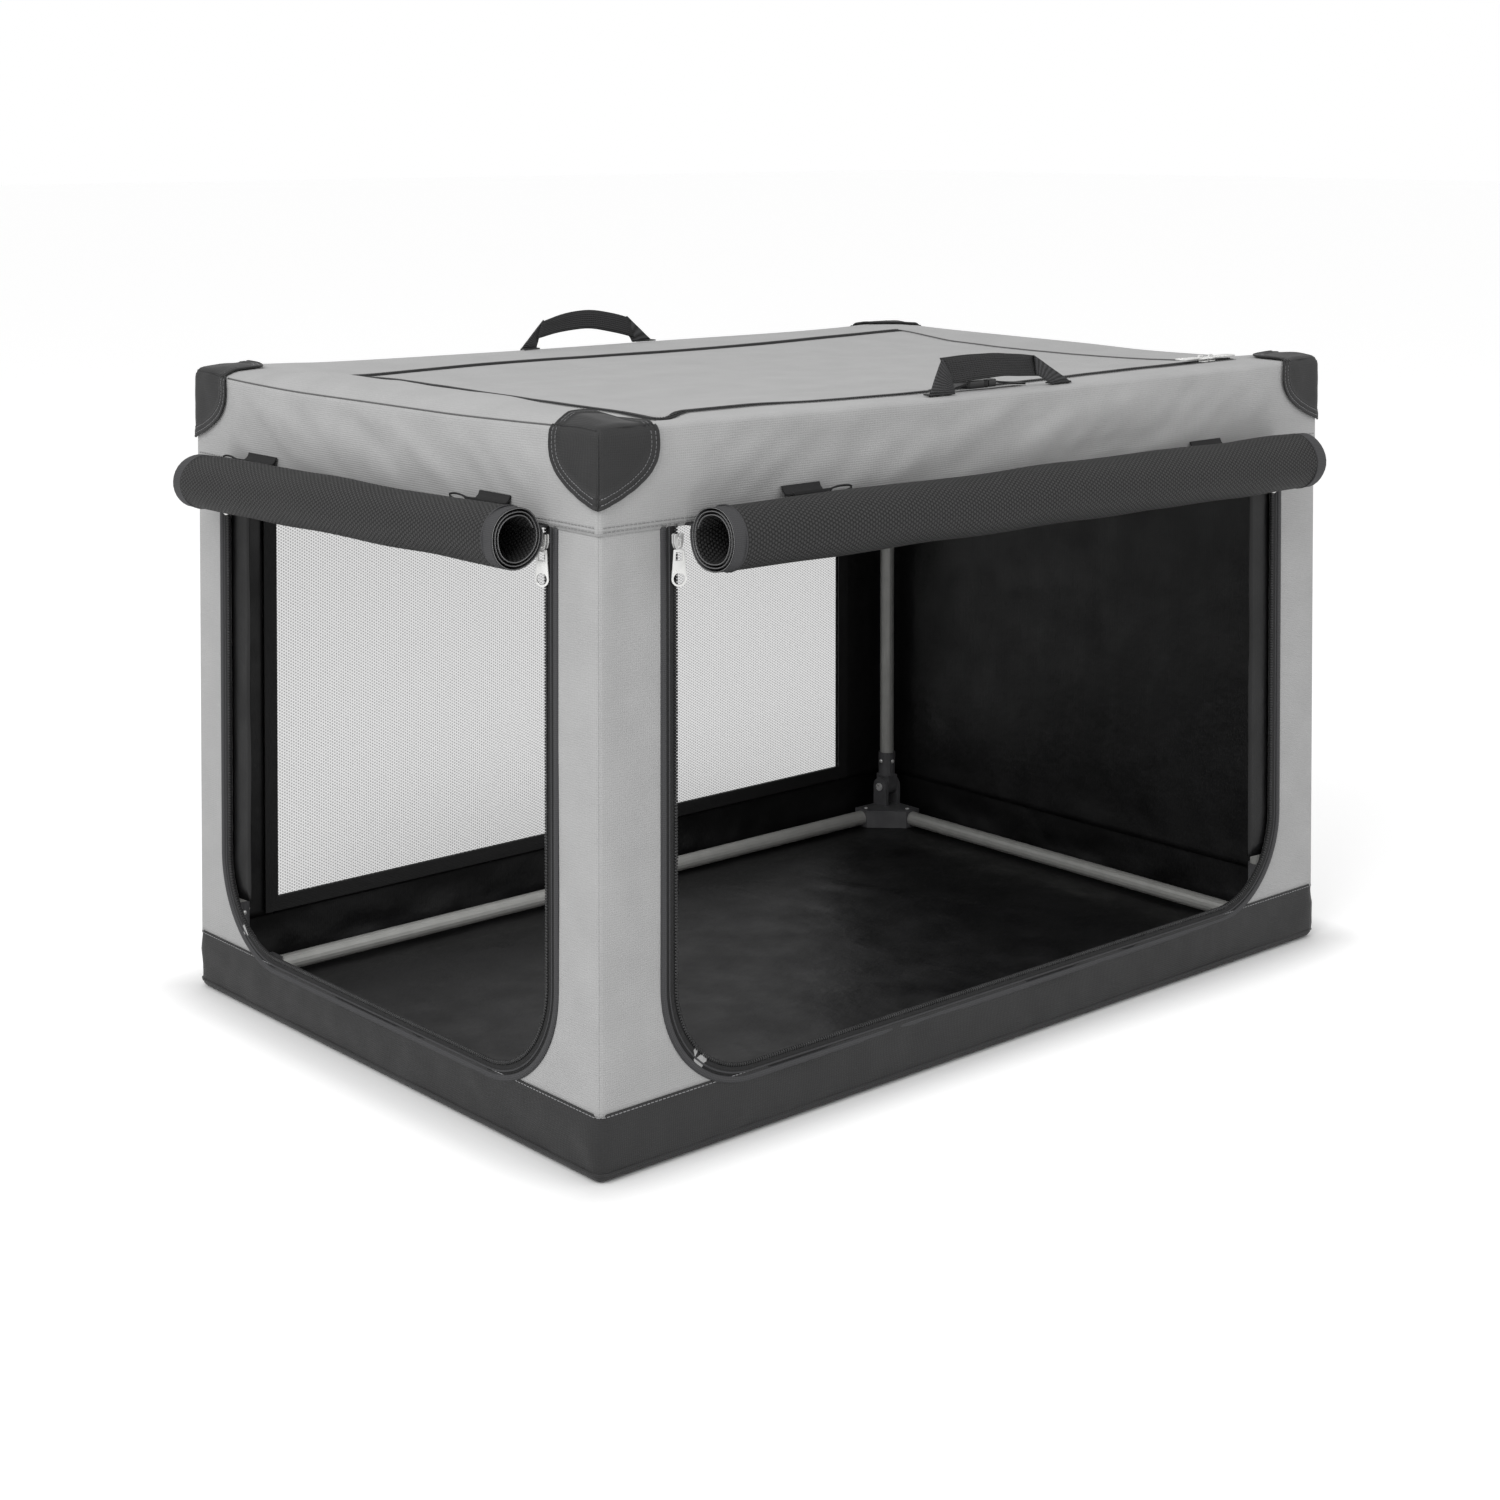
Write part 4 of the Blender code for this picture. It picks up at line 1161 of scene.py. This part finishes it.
def addTab(name, plane, low, high, top):
    line = [(0.0035, top), (0.0050, top - 0.0035), (0.0085, top - 0.0065), (0.0135, top - 0.0060),
            (0.0190, top - 0.0045)]
    frames = []
    for i, (out, up) in enumerate(line):
        before, after = line[max(i - 1, 0)], line[min(i + 1, len(line) - 1)]
        run = Vector((after[0] - before[0], after[1] - before[1])).normalized()
        lift = heading(plane, 0, run.x, -run.y).normalized()
        frames.append((plane((low + high) / 2, up, out), heading(plane, 1, 0, 0), lift))
    half, thick = (high - low) / 2, tabs["thick"] / 2
    section = [(-half, -thick * 0.6), (-half + 0.001, -thick), (half - 0.001, -thick), (half, -thick * 0.6),
               (half, thick * 0.6), (half - 0.001, thick), (-half + 0.001, thick), (-half, thick * 0.6)]
    lower(addPiece(name, sweep(frames, section), [zipTape], sharp=50))
    loop = []
    for i in range(25):
        a = math.tau * i / 24
        loop.append(plane(high + (0.012 - 0.014 * math.cos(a)), top - 0.0055 + 0.0024 * math.sin(a),
                          0.017 + 0.0015 * math.cos(a)))
    frames = []
    for i, point in enumerate(loop):
        run = (loop[(i + 1) % 24] - loop[(i - 1) % 24]).normalized()
        side = run.cross(zAxis).normalized()
        frames.append((point, side, side.cross(run)))
    cord = sweep(frames, circle(tabs["cord"], 8), loop=True)
    lower(addPiece(name + "_loop", cord, [zipTape]))


addTab("roll_tab_front_left", onFront, -0.271, -0.229, 0.5260)
addTab("roll_tab_front_right", onFront, 0.254, 0.299, 0.5185)
addTab("roll_tab_left_near", onLeft, -0.199, -0.157, 0.5245)
addTab("roll_tab_left_far", onLeft, 0.158, 0.206, 0.5195)
print("rolls made")

# Carry handles: two webbing legs leaning in, under a smooth folded top run
handle = {"y": 0.2995, "thick": 0.0018, "foot": 0.5852}
# Corners (along, height) of the strap's three lengths, going round from the lower left
handleShapes = {
    "front": {
        "leftLeg": ((-0.0885, 0.0), (-0.0570, 0.0), (-0.0610, 0.0150), (-0.0725, 0.0315)),
        "grip": ((-0.0610, 0.0090), (0.0600, 0.0080), (0.0450, 0.0280), (-0.0730, 0.0325)),
        "rightLeg": ((0.0690, 0.0), (0.0960, 0.0), (0.0450, 0.0280), (0.0480, 0.0110)), "arch": 0.0028,
    },
    "rear": {
        "leftLeg": ((-0.0840, 0.0), (-0.0640, 0.0), (-0.0600, 0.0130), (-0.0540, 0.0300)),
        "grip": ((-0.0640, 0.0110), (0.0660, 0.0050), (0.0580, 0.0275), (-0.0570, 0.0285)),
        "rightLeg": ((0.0660, 0.0), (0.0925, 0.0), (0.0580, 0.0285), (0.0600, 0.0080)), "arch": 0.0095,
    },
}


def strapPatch(corners, y, row, bow, arch, out):
    # A length of strap between four corners, bowed off its plane and arched along its top
    (ax, az), (bx, bz), (cx, cz), (dx, dz) = corners
    shape = flatGrid(steps(0, 1, 1 / 18), steps(0, 1, 1 / 5))
    wide, tall = math.hypot(bx - ax, bz - az), math.hypot(dx - ax, dz - az)
    writeCut(shape, lambda s, t: (s * wide, t * tall))
    for vert in shape.verts:
        s, t = vert.co.x, vert.co.y
        x = (ax * (1 - s) + bx * s) * (1 - t) + (dx * (1 - s) + cx * s) * t
        z = (az * (1 - s) + bz * s) * (1 - t) + (dz * (1 - s) + cz * s) * t
        hump = math.sin(math.pi * s)
        z += arch * hump + 0.0008 * ripple(s * 4, t * 2, 0, 83)
        vert.co = (x, y + row * (out + bow * hump + 0.0006 * ripple(s * 5, t * 3, 0, 84)), handle["foot"] + z)
    shape.normal_update()
    if sum(face.normal.y for face in shape.faces) * row < 0:
        bmesh.ops.reverse_faces(shape, faces=shape.faces)
    return shape


def addHandle(row, rowName):
    y, shapes = row * handle["y"], handleShapes[rowName]
    body = rowName + "_handle"
    grip = strapPatch(shapes["grip"], y, row, 0.0016, shapes["arch"], -0.0004)
    lower(addPiece(rowName + "_handle_grip", grip, [gripWebbing], body=body, replaces=(body,),
                   thickness=handle["thick"], sharp=50))
    legs = bmesh.new()
    for part in ("leftLeg", "rightLeg"):
        join(legs, strapPatch(shapes[part], y, row, 0.0, 0.0, 0.0016))
    lower(addPiece(rowName + "_handle_legs", legs, [webbing], body=body,
                   thickness=handle["thick"], sharp=50))
    feet = bmesh.new()
    for part in ("leftLeg", "rightLeg"):
        (first, _), (second, _) = shapes[part][:2]
        x, wide = (first + second) / 2, abs(second - first)
        join(feet, moved(softBox((wide, 0.008, 0.0014), 0.0005, 2),
                         Matrix.Translation((x, y - row * 0.003, handle["foot"] + 0.0010))))
    lower(addPiece(rowName + "_handle_feet", feet, [webbing]))


addHandle(-1, "front")
addHandle(1, "rear")

# Side-release buckle on its strap, on the roof behind the front handle
buckle = {"y": -0.2785, "middle": (0.5858 + 0.5938) / 2, "strap": 0.0075, "strapThick": 0.0009}


def mirrored(side):
    return side + [(x, -y) for x, y in reversed(side)]


def addStrap(name, points, body):
    half, thick = buckle["strap"], buckle["strapThick"]
    frames = [(Vector((x, buckle["y"], z)), yAxis, zAxis) for x, z in points]
    strap = sweep(frames, [(-half, -thick), (half, -thick), (half, thick), (-half, thick)])
    lower(addPiece(name, strap, [webbing], body=body, sharp=50))


def addBuckle():
    place = Matrix.Translation((0, buckle["y"], buckle["middle"]))
    outline = mirrored([(-0.026, -0.0065), (-0.0235, -0.0088), (-0.006, -0.0088), (-0.0045, -0.0072),
                        (-0.0015, -0.0090), (0, -0.0085)])
    window = arc(-0.0165, 0, 0.0028, 0, 324, 9)
    socket = moved(plate([outline, window], 0.0076, 0.0012), place)
    lower(addPiece("buckle_socket_body", socket, [acetal], replaces=("buckle_socket",),
                   sharp=40))
    plug = plate([mirrored([(0.0004, -0.0088), (0.0095, -0.0088), (0.012, -0.0062)]),
                  mirrored([(0.0055, -0.0058), (0.0082, -0.0058)])], 0.0070, 0.0010)
    for way in (-1, 1):
        prong = plate([[(-0.0150, way * 0.0042), (-0.0135, way * 0.0066), (0.0010, way * 0.0068),
                        (0.0010, way * 0.0034), (-0.0120, way * 0.0030)]], 0.0040, 0.0005)
        join(plug, prong)
    lower(addPiece("buckle_plug_body", moved(plug, place), [acetal], body="buckle_plug",
                   replaces=("buckle_plug",), sharp=40))
    addStrap("buckle_strap_left", [(-0.060, 0.5862), (-0.050, 0.5868), (-0.042, 0.5880), (-0.034, 0.5895),
                                   (-0.027, 0.5905), (-0.0245, 0.5905)], "root")
    addStrap("buckle_strap_right", [(0.0075, 0.5900), (0.012, 0.5903), (0.020, 0.5893), (0.030, 0.5878),
                                    (0.040, 0.5868), (0.050, 0.5862)], "buckle_plug")


addBuckle()
print("handles and buckle made")

# Zip sliders and pulls in bright plated metal
slider = {"wide": 0.0094, "roofWide": 0.0105, "nose": 0.0062, "doorNose": 0.487, "doorHinge": 0.48605,
          "roofMeet": halfLength - 0.112}
pull = {"length": 0.0290, "root": 0.0094, "tip": 0.0128, "thick": 0.0014, "hole": 0.0046}


def sliderShape(wide):
    # Nose at zero, mouth at the length: two cheeks with a slot between them, and a bridge on top
    half, nose = wide / 2, slider["nose"] / 2
    outline = [(-nose + 0.0008, 0), (nose - 0.0008, 0), (nose, 0.0010), (half, 0.0052), (half, 0.0112),
               (half - 0.0008, 0.012), (0.0011, 0.012), (0.0007, 0.0105), (-0.0007, 0.0105),
               (-0.0011, 0.012), (-half + 0.0008, 0.012), (-half, 0.0112), (-half, 0.0052), (-nose, 0.0010)]
    made = bmesh.new()
    for depth in (-0.0015, 0.0015):
        join(made, moved(plate([outline], 0.0014, 0.0003), Matrix.Translation((0, 0, depth))))
    join(made, moved(softBox((0.0016, 0.0070, 0.0030), 0.0003, 2), Matrix.Translation((0, 0.0058, 0))))
    path = [(Vector((0, y, z)), xAxis, Vector((0, -b, a))) for y, z, a, b in (
        (0.0016, 0.0018, 0.0, -1.0), (0.0016, 0.0032, 0.5, -0.87), (0.0030, 0.0043, 0.95, -0.3),
        (0.0052, 0.0046, 1.0, 0.0), (0.0074, 0.0042, 0.95, 0.3), (0.0088, 0.0030, 0.5, 0.87),
        (0.0088, 0.0018, 0.0, 1.0))]
    join(made, sweep(path, [(-0.0010, -0.0005), (0.0010, -0.0005), (0.0010, 0.0005), (-0.0010, 0.0005)]))
    return made


def pullShape():
    # Hinged end at zero and the tip along -Y, with a slot for the bridge and a round finger hole
    root, tip = pull["root"] / 2, pull["tip"] / 2
    end = -pull["length"] + tip
    edge = arc(-root + 0.0012, -0.0012, 0.0012, 180, 90, 4) + arc(root - 0.0012, -0.0012, 0.0012, 90, 0, 4)
    edge = [(a, b + 0.00065) for a, b in edge] + [(root + 0.0006, -0.010)]
    edge += arc(0, end, tip, 0, -180, 16) + [(-root - 0.0006, -0.010)]
    slot = [(-0.0026, -0.0016), (0.0026, -0.0016), (0.0029, -0.0082), (-0.0029, -0.0082)]
    hole = arc(0, end, pull["hole"], 0, 337.5, 15)
    return plate([edge, slot, hole], pull["thick"], 0.0003)


def addSlider(name, across, along, out, point, wide, hinge, twist=0):
    # along runs from the nose to the mouth, and out is off the cloth
    body = moved(sliderShape(wide), axes(point, across, along, out))
    lower(addPiece(name + "_slider_body", body, [nickel], body=name + "_slider",
                   replaces=(name + "_slider",), sharp=40))
    # A hanging pull turns a little towards the open side
    turn = Matrix.Rotation(math.radians(twist), 4, "Y")
    tab = moved(pullShape(), axes(hinge, across, along, out) @ turn)
    lower(addPiece(name + "_pull_tab", tab, [nickel], body=name + "_pull",
                   replaces=(name + "_pull",), sharp=40))


for name, plane, across, u in (("front_left", onFront, (1, 0, 0), frontDoor["low"]),
                               ("front_right", onFront, (1, 0, 0), frontDoor["high"]),
                               ("left_near", onLeft, (0, -1, 0), leftDoor["low"]),
                               ("left_far", onLeft, (0, -1, 0), leftDoor["high"])):
    twist = {"front_left": -22, "left_near": 22}.get(name, 0)
    hinge = plane(u, slider["doorHinge"], 0.0044 if twist else 0.0036)
    addSlider(name, across, zAxis, heading(plane, 0, 0, 1), plane(u, slider["doorNose"], 0.0025),
              slider["wide"], hinge, twist)
for side, name in ((-1, "roof_left"), (1, "roof_right")):
    nose = slider["roofMeet"] + side * 0.001 + side * 0.012
    teeth = roofHeight(slider["roofMeet"], roofZip["low"]) + 0.0022
    addSlider(name, (0, side, 0), (-side, 0, 0), zAxis, (nose, roofZip["low"], teeth), slider["roofWide"],
              (nose + side * 0.00095, roofZip["low"], teeth + 0.0022))
print("sliders made")

# Rear window: see-through mesh behind a dark bound edge
pane = {"half": 0.3895, "bottom": 0.056, "top": 0.515, "y": 0.3040, "thick": 0.0008}
paneShape = flatGrid(steps(-pane["half"], pane["half"], 0.010), steps(pane["bottom"], pane["top"], 0.010))


def panePlace(u, w):
    near = min(pane["half"] - abs(u), w - pane["bottom"], pane["top"] - w)
    fold = ripple(u / 0.2, w / 0.14, 0, 91)
    return Vector((u, pane["y"] + 0.0006 + 0.0014 * fold * ease(0.02, 0.08, near), w))


mapCloth(paneShape, panePlace)
panePiece = settle(addPiece("rear_window_pane", paneShape, [paneMesh],
                            replaces=("rear_window_mesh",), thickness=pane["thick"]))


def addWindowBinding(name, inner, width, y, thick):
    # Four bands round the window, mitred at the corners
    half, low, high = rearWindow["half"] - inner, rearWindow["bottom"] + inner, rearWindow["top"] - inner
    frames = []
    for x, z in ((-1, -1), (1, -1), (1, 1), (-1, 1), (-1, -1)):
        point = Vector((x * half, y, high if z > 0 else low))
        frames.append((point, Vector((x, 0, z)), -yAxis))
    section = [(0, -thick / 2), (width, -thick / 2), (width, thick / 2), (0, thick / 2)]
    settle(addPiece(name, sweep(frames, section, loop=True), [liningTape], sharp=40))


addWindowBinding("window_binding_inside", 0.004, 0.014, 0.3026, 0.0014)
addWindowBinding("window_binding_outside", 0.003, 0.012, 0.3079, 0.0012)

# Header stitching round the crate, and along the roof's zip
stitch = {"size": (0.0030, 0.0013, 0.0008, 0.0005), "rows": (0.5068, 0.5105), "roofAt": 0.0085}
stitchRuns = []
for plane, half in ((onFront, halfLength), (onRear, halfLength), (onLeft, halfWidth), (onRight, halfWidth)):
    for up in stitch["rows"]:
        def frameAt(s, plane=plane, half=half, up=up):
            along = s - half + 0.004
            seed = {onFront: 20, onRear: 21, onLeft: 24, onRight: 25}[plane]
            out = headerOut(along, roof["seam"] - up, half, seed)
            return plane(along, up, out + roof["edge"] + 0.0002), zAxis, heading(plane, 0, 0, 1)
        stitchRuns.append((frameAt, 2 * half - 0.008))
settle(addPiece("header_stitching", dashes(stitchRuns, *stitch["size"]), [greyThreadShaded],
                thickness=0.0003))
roofRun = (lambda s: roofFrame(s, stitch["roofAt"], 0.0002), uLength(roofZip, stitch["roofAt"]))
settle(addPiece("roof_stitching", dashes([roofRun], *stitch["size"]), [greyThreadShaded],
                thickness=0.0003))

# Piped seam along the roof's two short edges
endSeams = bmesh.new()
for side in (-1, 1):
    turned = roofHalf["x"] - roof["radius"] * (1 - math.pi / 4)
    line = [roofPlace(side * turned, y) for y in steps(-0.25, 0.25, 0.01)]
    frames = [(point, Vector((side, 0, 0)), zAxis) for point in line]
    join(endSeams, sweep(frames, circle(0.0008, 8)))
# The flap's hinge seam
hinge = [(Vector((roofZip["top"], y, roofHeight(roofZip["top"], y) + 0.0003)), xAxis, zAxis)
         for y in steps(-0.256, 0.211, 0.01)]
join(endSeams, sweep(hinge, circle(0.0009, 8)))
settle(addPiece("roof_end_seams", endSeams, [seamCordShaded]))

# Rivets on the base corners' arms and on the rear feet
post = {"x": 0.432, "y": 0.279, "arm": 0.034, "armTop": 0.0217, "side": 0.0098, "footHigh": 0.073}
rivets = bmesh.new()


def addRivet(target, point, way, radius):
    shape = bmesh.new()
    bmesh.ops.create_uvsphere(shape, u_segments=14, v_segments=8, radius=radius)
    bmesh.ops.scale(shape, vec=(1, 1, 0.45), verts=shape.verts)
    turn = zAxis.rotation_difference(Vector(way)).to_matrix().to_4x4()
    moved(shape, Matrix.Translation(Vector(point)) @ turn)
    join(target, shape)


for side in (-1, 1):
    for row in (-1, 1):
        x, y = side * post["x"], row * post["y"]
        addRivet(rivets, (x - side * post["arm"], y, post["armTop"]), zAxis, 0.0026)
        addRivet(rivets, (x, y - row * post["arm"], post["armTop"]), zAxis, 0.0026)
addPiece("base_rivets", rivets, [nickel])
footRivets = bmesh.new()
for side in (-1, 1):
    x, y, z = side * post["x"], post["y"], post["footHigh"]
    addRivet(footRivets, (x, y - post["side"], z), -yAxis, 0.0024)
    addRivet(footRivets, (side * (post["x"] - post["side"]), y, z), (-side, 0, 0), 0.0024)
addPiece("rear_foot_rivets", footRivets, [nickel], body="rear_frame")

# The CAD's own tubes, stays, pins and brackets keep their shape and get their finish
finishes = {"coated_tube": coatedTube, "dark_plastic": mouldedNylon, "bright_steel": nickel}
slots = {row["node"]: row["material_slot"] for row in frame["record"]["subparts"]}
for name, node in frame["nodes"].items():
    material = finishes.get(slots.get(name))
    if material and not node.hide_render:
        for place in node.material_slots:
            place.material = material
print("frame finished")

# Floor, world, lamps and camera
studio = {"floor": "F2F2F2", "glowPastPaintedShade": 0.34, "fade": 0.055, "worldLight": 0.72}
floorMaterial, tree, shader, place = newMaterial(
    "studio_floor", {"Base Color": studio["floor"], "Roughness": 0.9}, "Object")
ray = addNode(tree, "ShaderNodeLightPath")
# Camera rays see the floor glow white except within 55 mm of the crate's footprint, where the glow fades out:
# a painted shadow round the crate's foot, added to its rendered contact shadow
beside = addNode(tree, "ShaderNodeVectorMath", {"operation": "ABSOLUTE"}, {0: place})
beside = addNode(tree, "ShaderNodeVectorMath", {"operation": "SUBTRACT", 1: (halfLength, halfWidth, 0)},
                 {0: beside.outputs[0]})
beside = addNode(tree, "ShaderNodeVectorMath", {"operation": "MAXIMUM", 1: (0, 0, 0)}, {0: beside.outputs[0]})
reach = addNode(tree, "ShaderNodeVectorMath", {"operation": "LENGTH"}, {0: beside.outputs[0]})
glowPastPaintedShade = spread(tree, reach.outputs["Value"], 0, studio["fade"], 0, studio["glowPastPaintedShade"])
lit = addNode(tree, "ShaderNodeMath", {"operation": "MULTIPLY"}, {0: ray.outputs["Is Camera Ray"], 1: glowPastPaintedShade})
tree.links.new(lit.outputs[0], shader.inputs["Emission Strength"])
shader.inputs["Emission Color"].default_value = (1, 1, 1, 1)
ground = bmesh.new()
bmesh.ops.create_grid(ground, x_segments=2, y_segments=2, size=30)
groundPiece = addObject("studio_floor", meshOf("studio_floor", ground))
groundPiece.data.materials.append(floorMaterial)

world = bpy.context.scene.world or bpy.data.worlds.new("studio")
bpy.context.scene.world = world
world.use_nodes = True
tree = world.node_tree
background = tree.nodes["Background"]
ray = addNode(tree, "ShaderNodeLightPath")
seen = addNode(tree, "ShaderNodeMath", {"operation": "MAXIMUM"},
               {0: ray.outputs["Is Camera Ray"], 1: ray.outputs["Is Transmission Ray"]})
tree.links.new(spread(tree, seen.outputs[0], 0, 1, studio["worldLight"], 1.0), background.inputs["Strength"])
background.inputs["Color"].default_value = (1, 1, 1, 1)


def addLamp(name, place, target, size, power, beam=180):
    lamp = bpy.data.lights.new(name, "AREA")
    lamp.size = size
    lamp.energy = power
    lamp.spread = math.radians(beam)
    item = addObject(name, lamp)
    item.location = place
    item.rotation_euler = (Vector(target) - Vector(place)).to_track_quat("-Z", "Y").to_euler()


addLamp("key", (-2.6, -0.9, 2.6), (0, 0, 0.3), 2.2, 56)
addLamp("fill", (1.6, -3.0, 1.6), (0, 0, 0.3), 2.5, 14)
# Light that reaches the frame and the floor inside
addLamp("inside", (-0.04, -0.02, 0.44), (-0.04, -0.02, 0.0), 0.5, 0.8, beam=140)

view = {"lens": 60.996, "shiftY": -0.3715, "azimuth": -41.508, "pitch": 1.564,
        "eye": (-1.65747, -1.83907, 0.82144)}
camera = bpy.data.cameras.new("camera")
camera.lens = view["lens"]
camera.sensor_width = 36
camera.shift_y = view["shiftY"]
azimuth, pitch = math.radians(view["azimuth"]), math.radians(view["pitch"])
back = Vector((math.sin(azimuth) * math.cos(pitch), -math.cos(azimuth) * math.cos(pitch), math.sin(pitch)))
cameraItem = addObject("camera", camera)
cameraItem.location = view["eye"]
cameraItem.rotation_euler = (-back).to_track_quat("-Z", "Y").to_euler()
bpy.context.scene.camera = cameraItem
bpy.context.scene.view_settings.view_transform = "Standard"
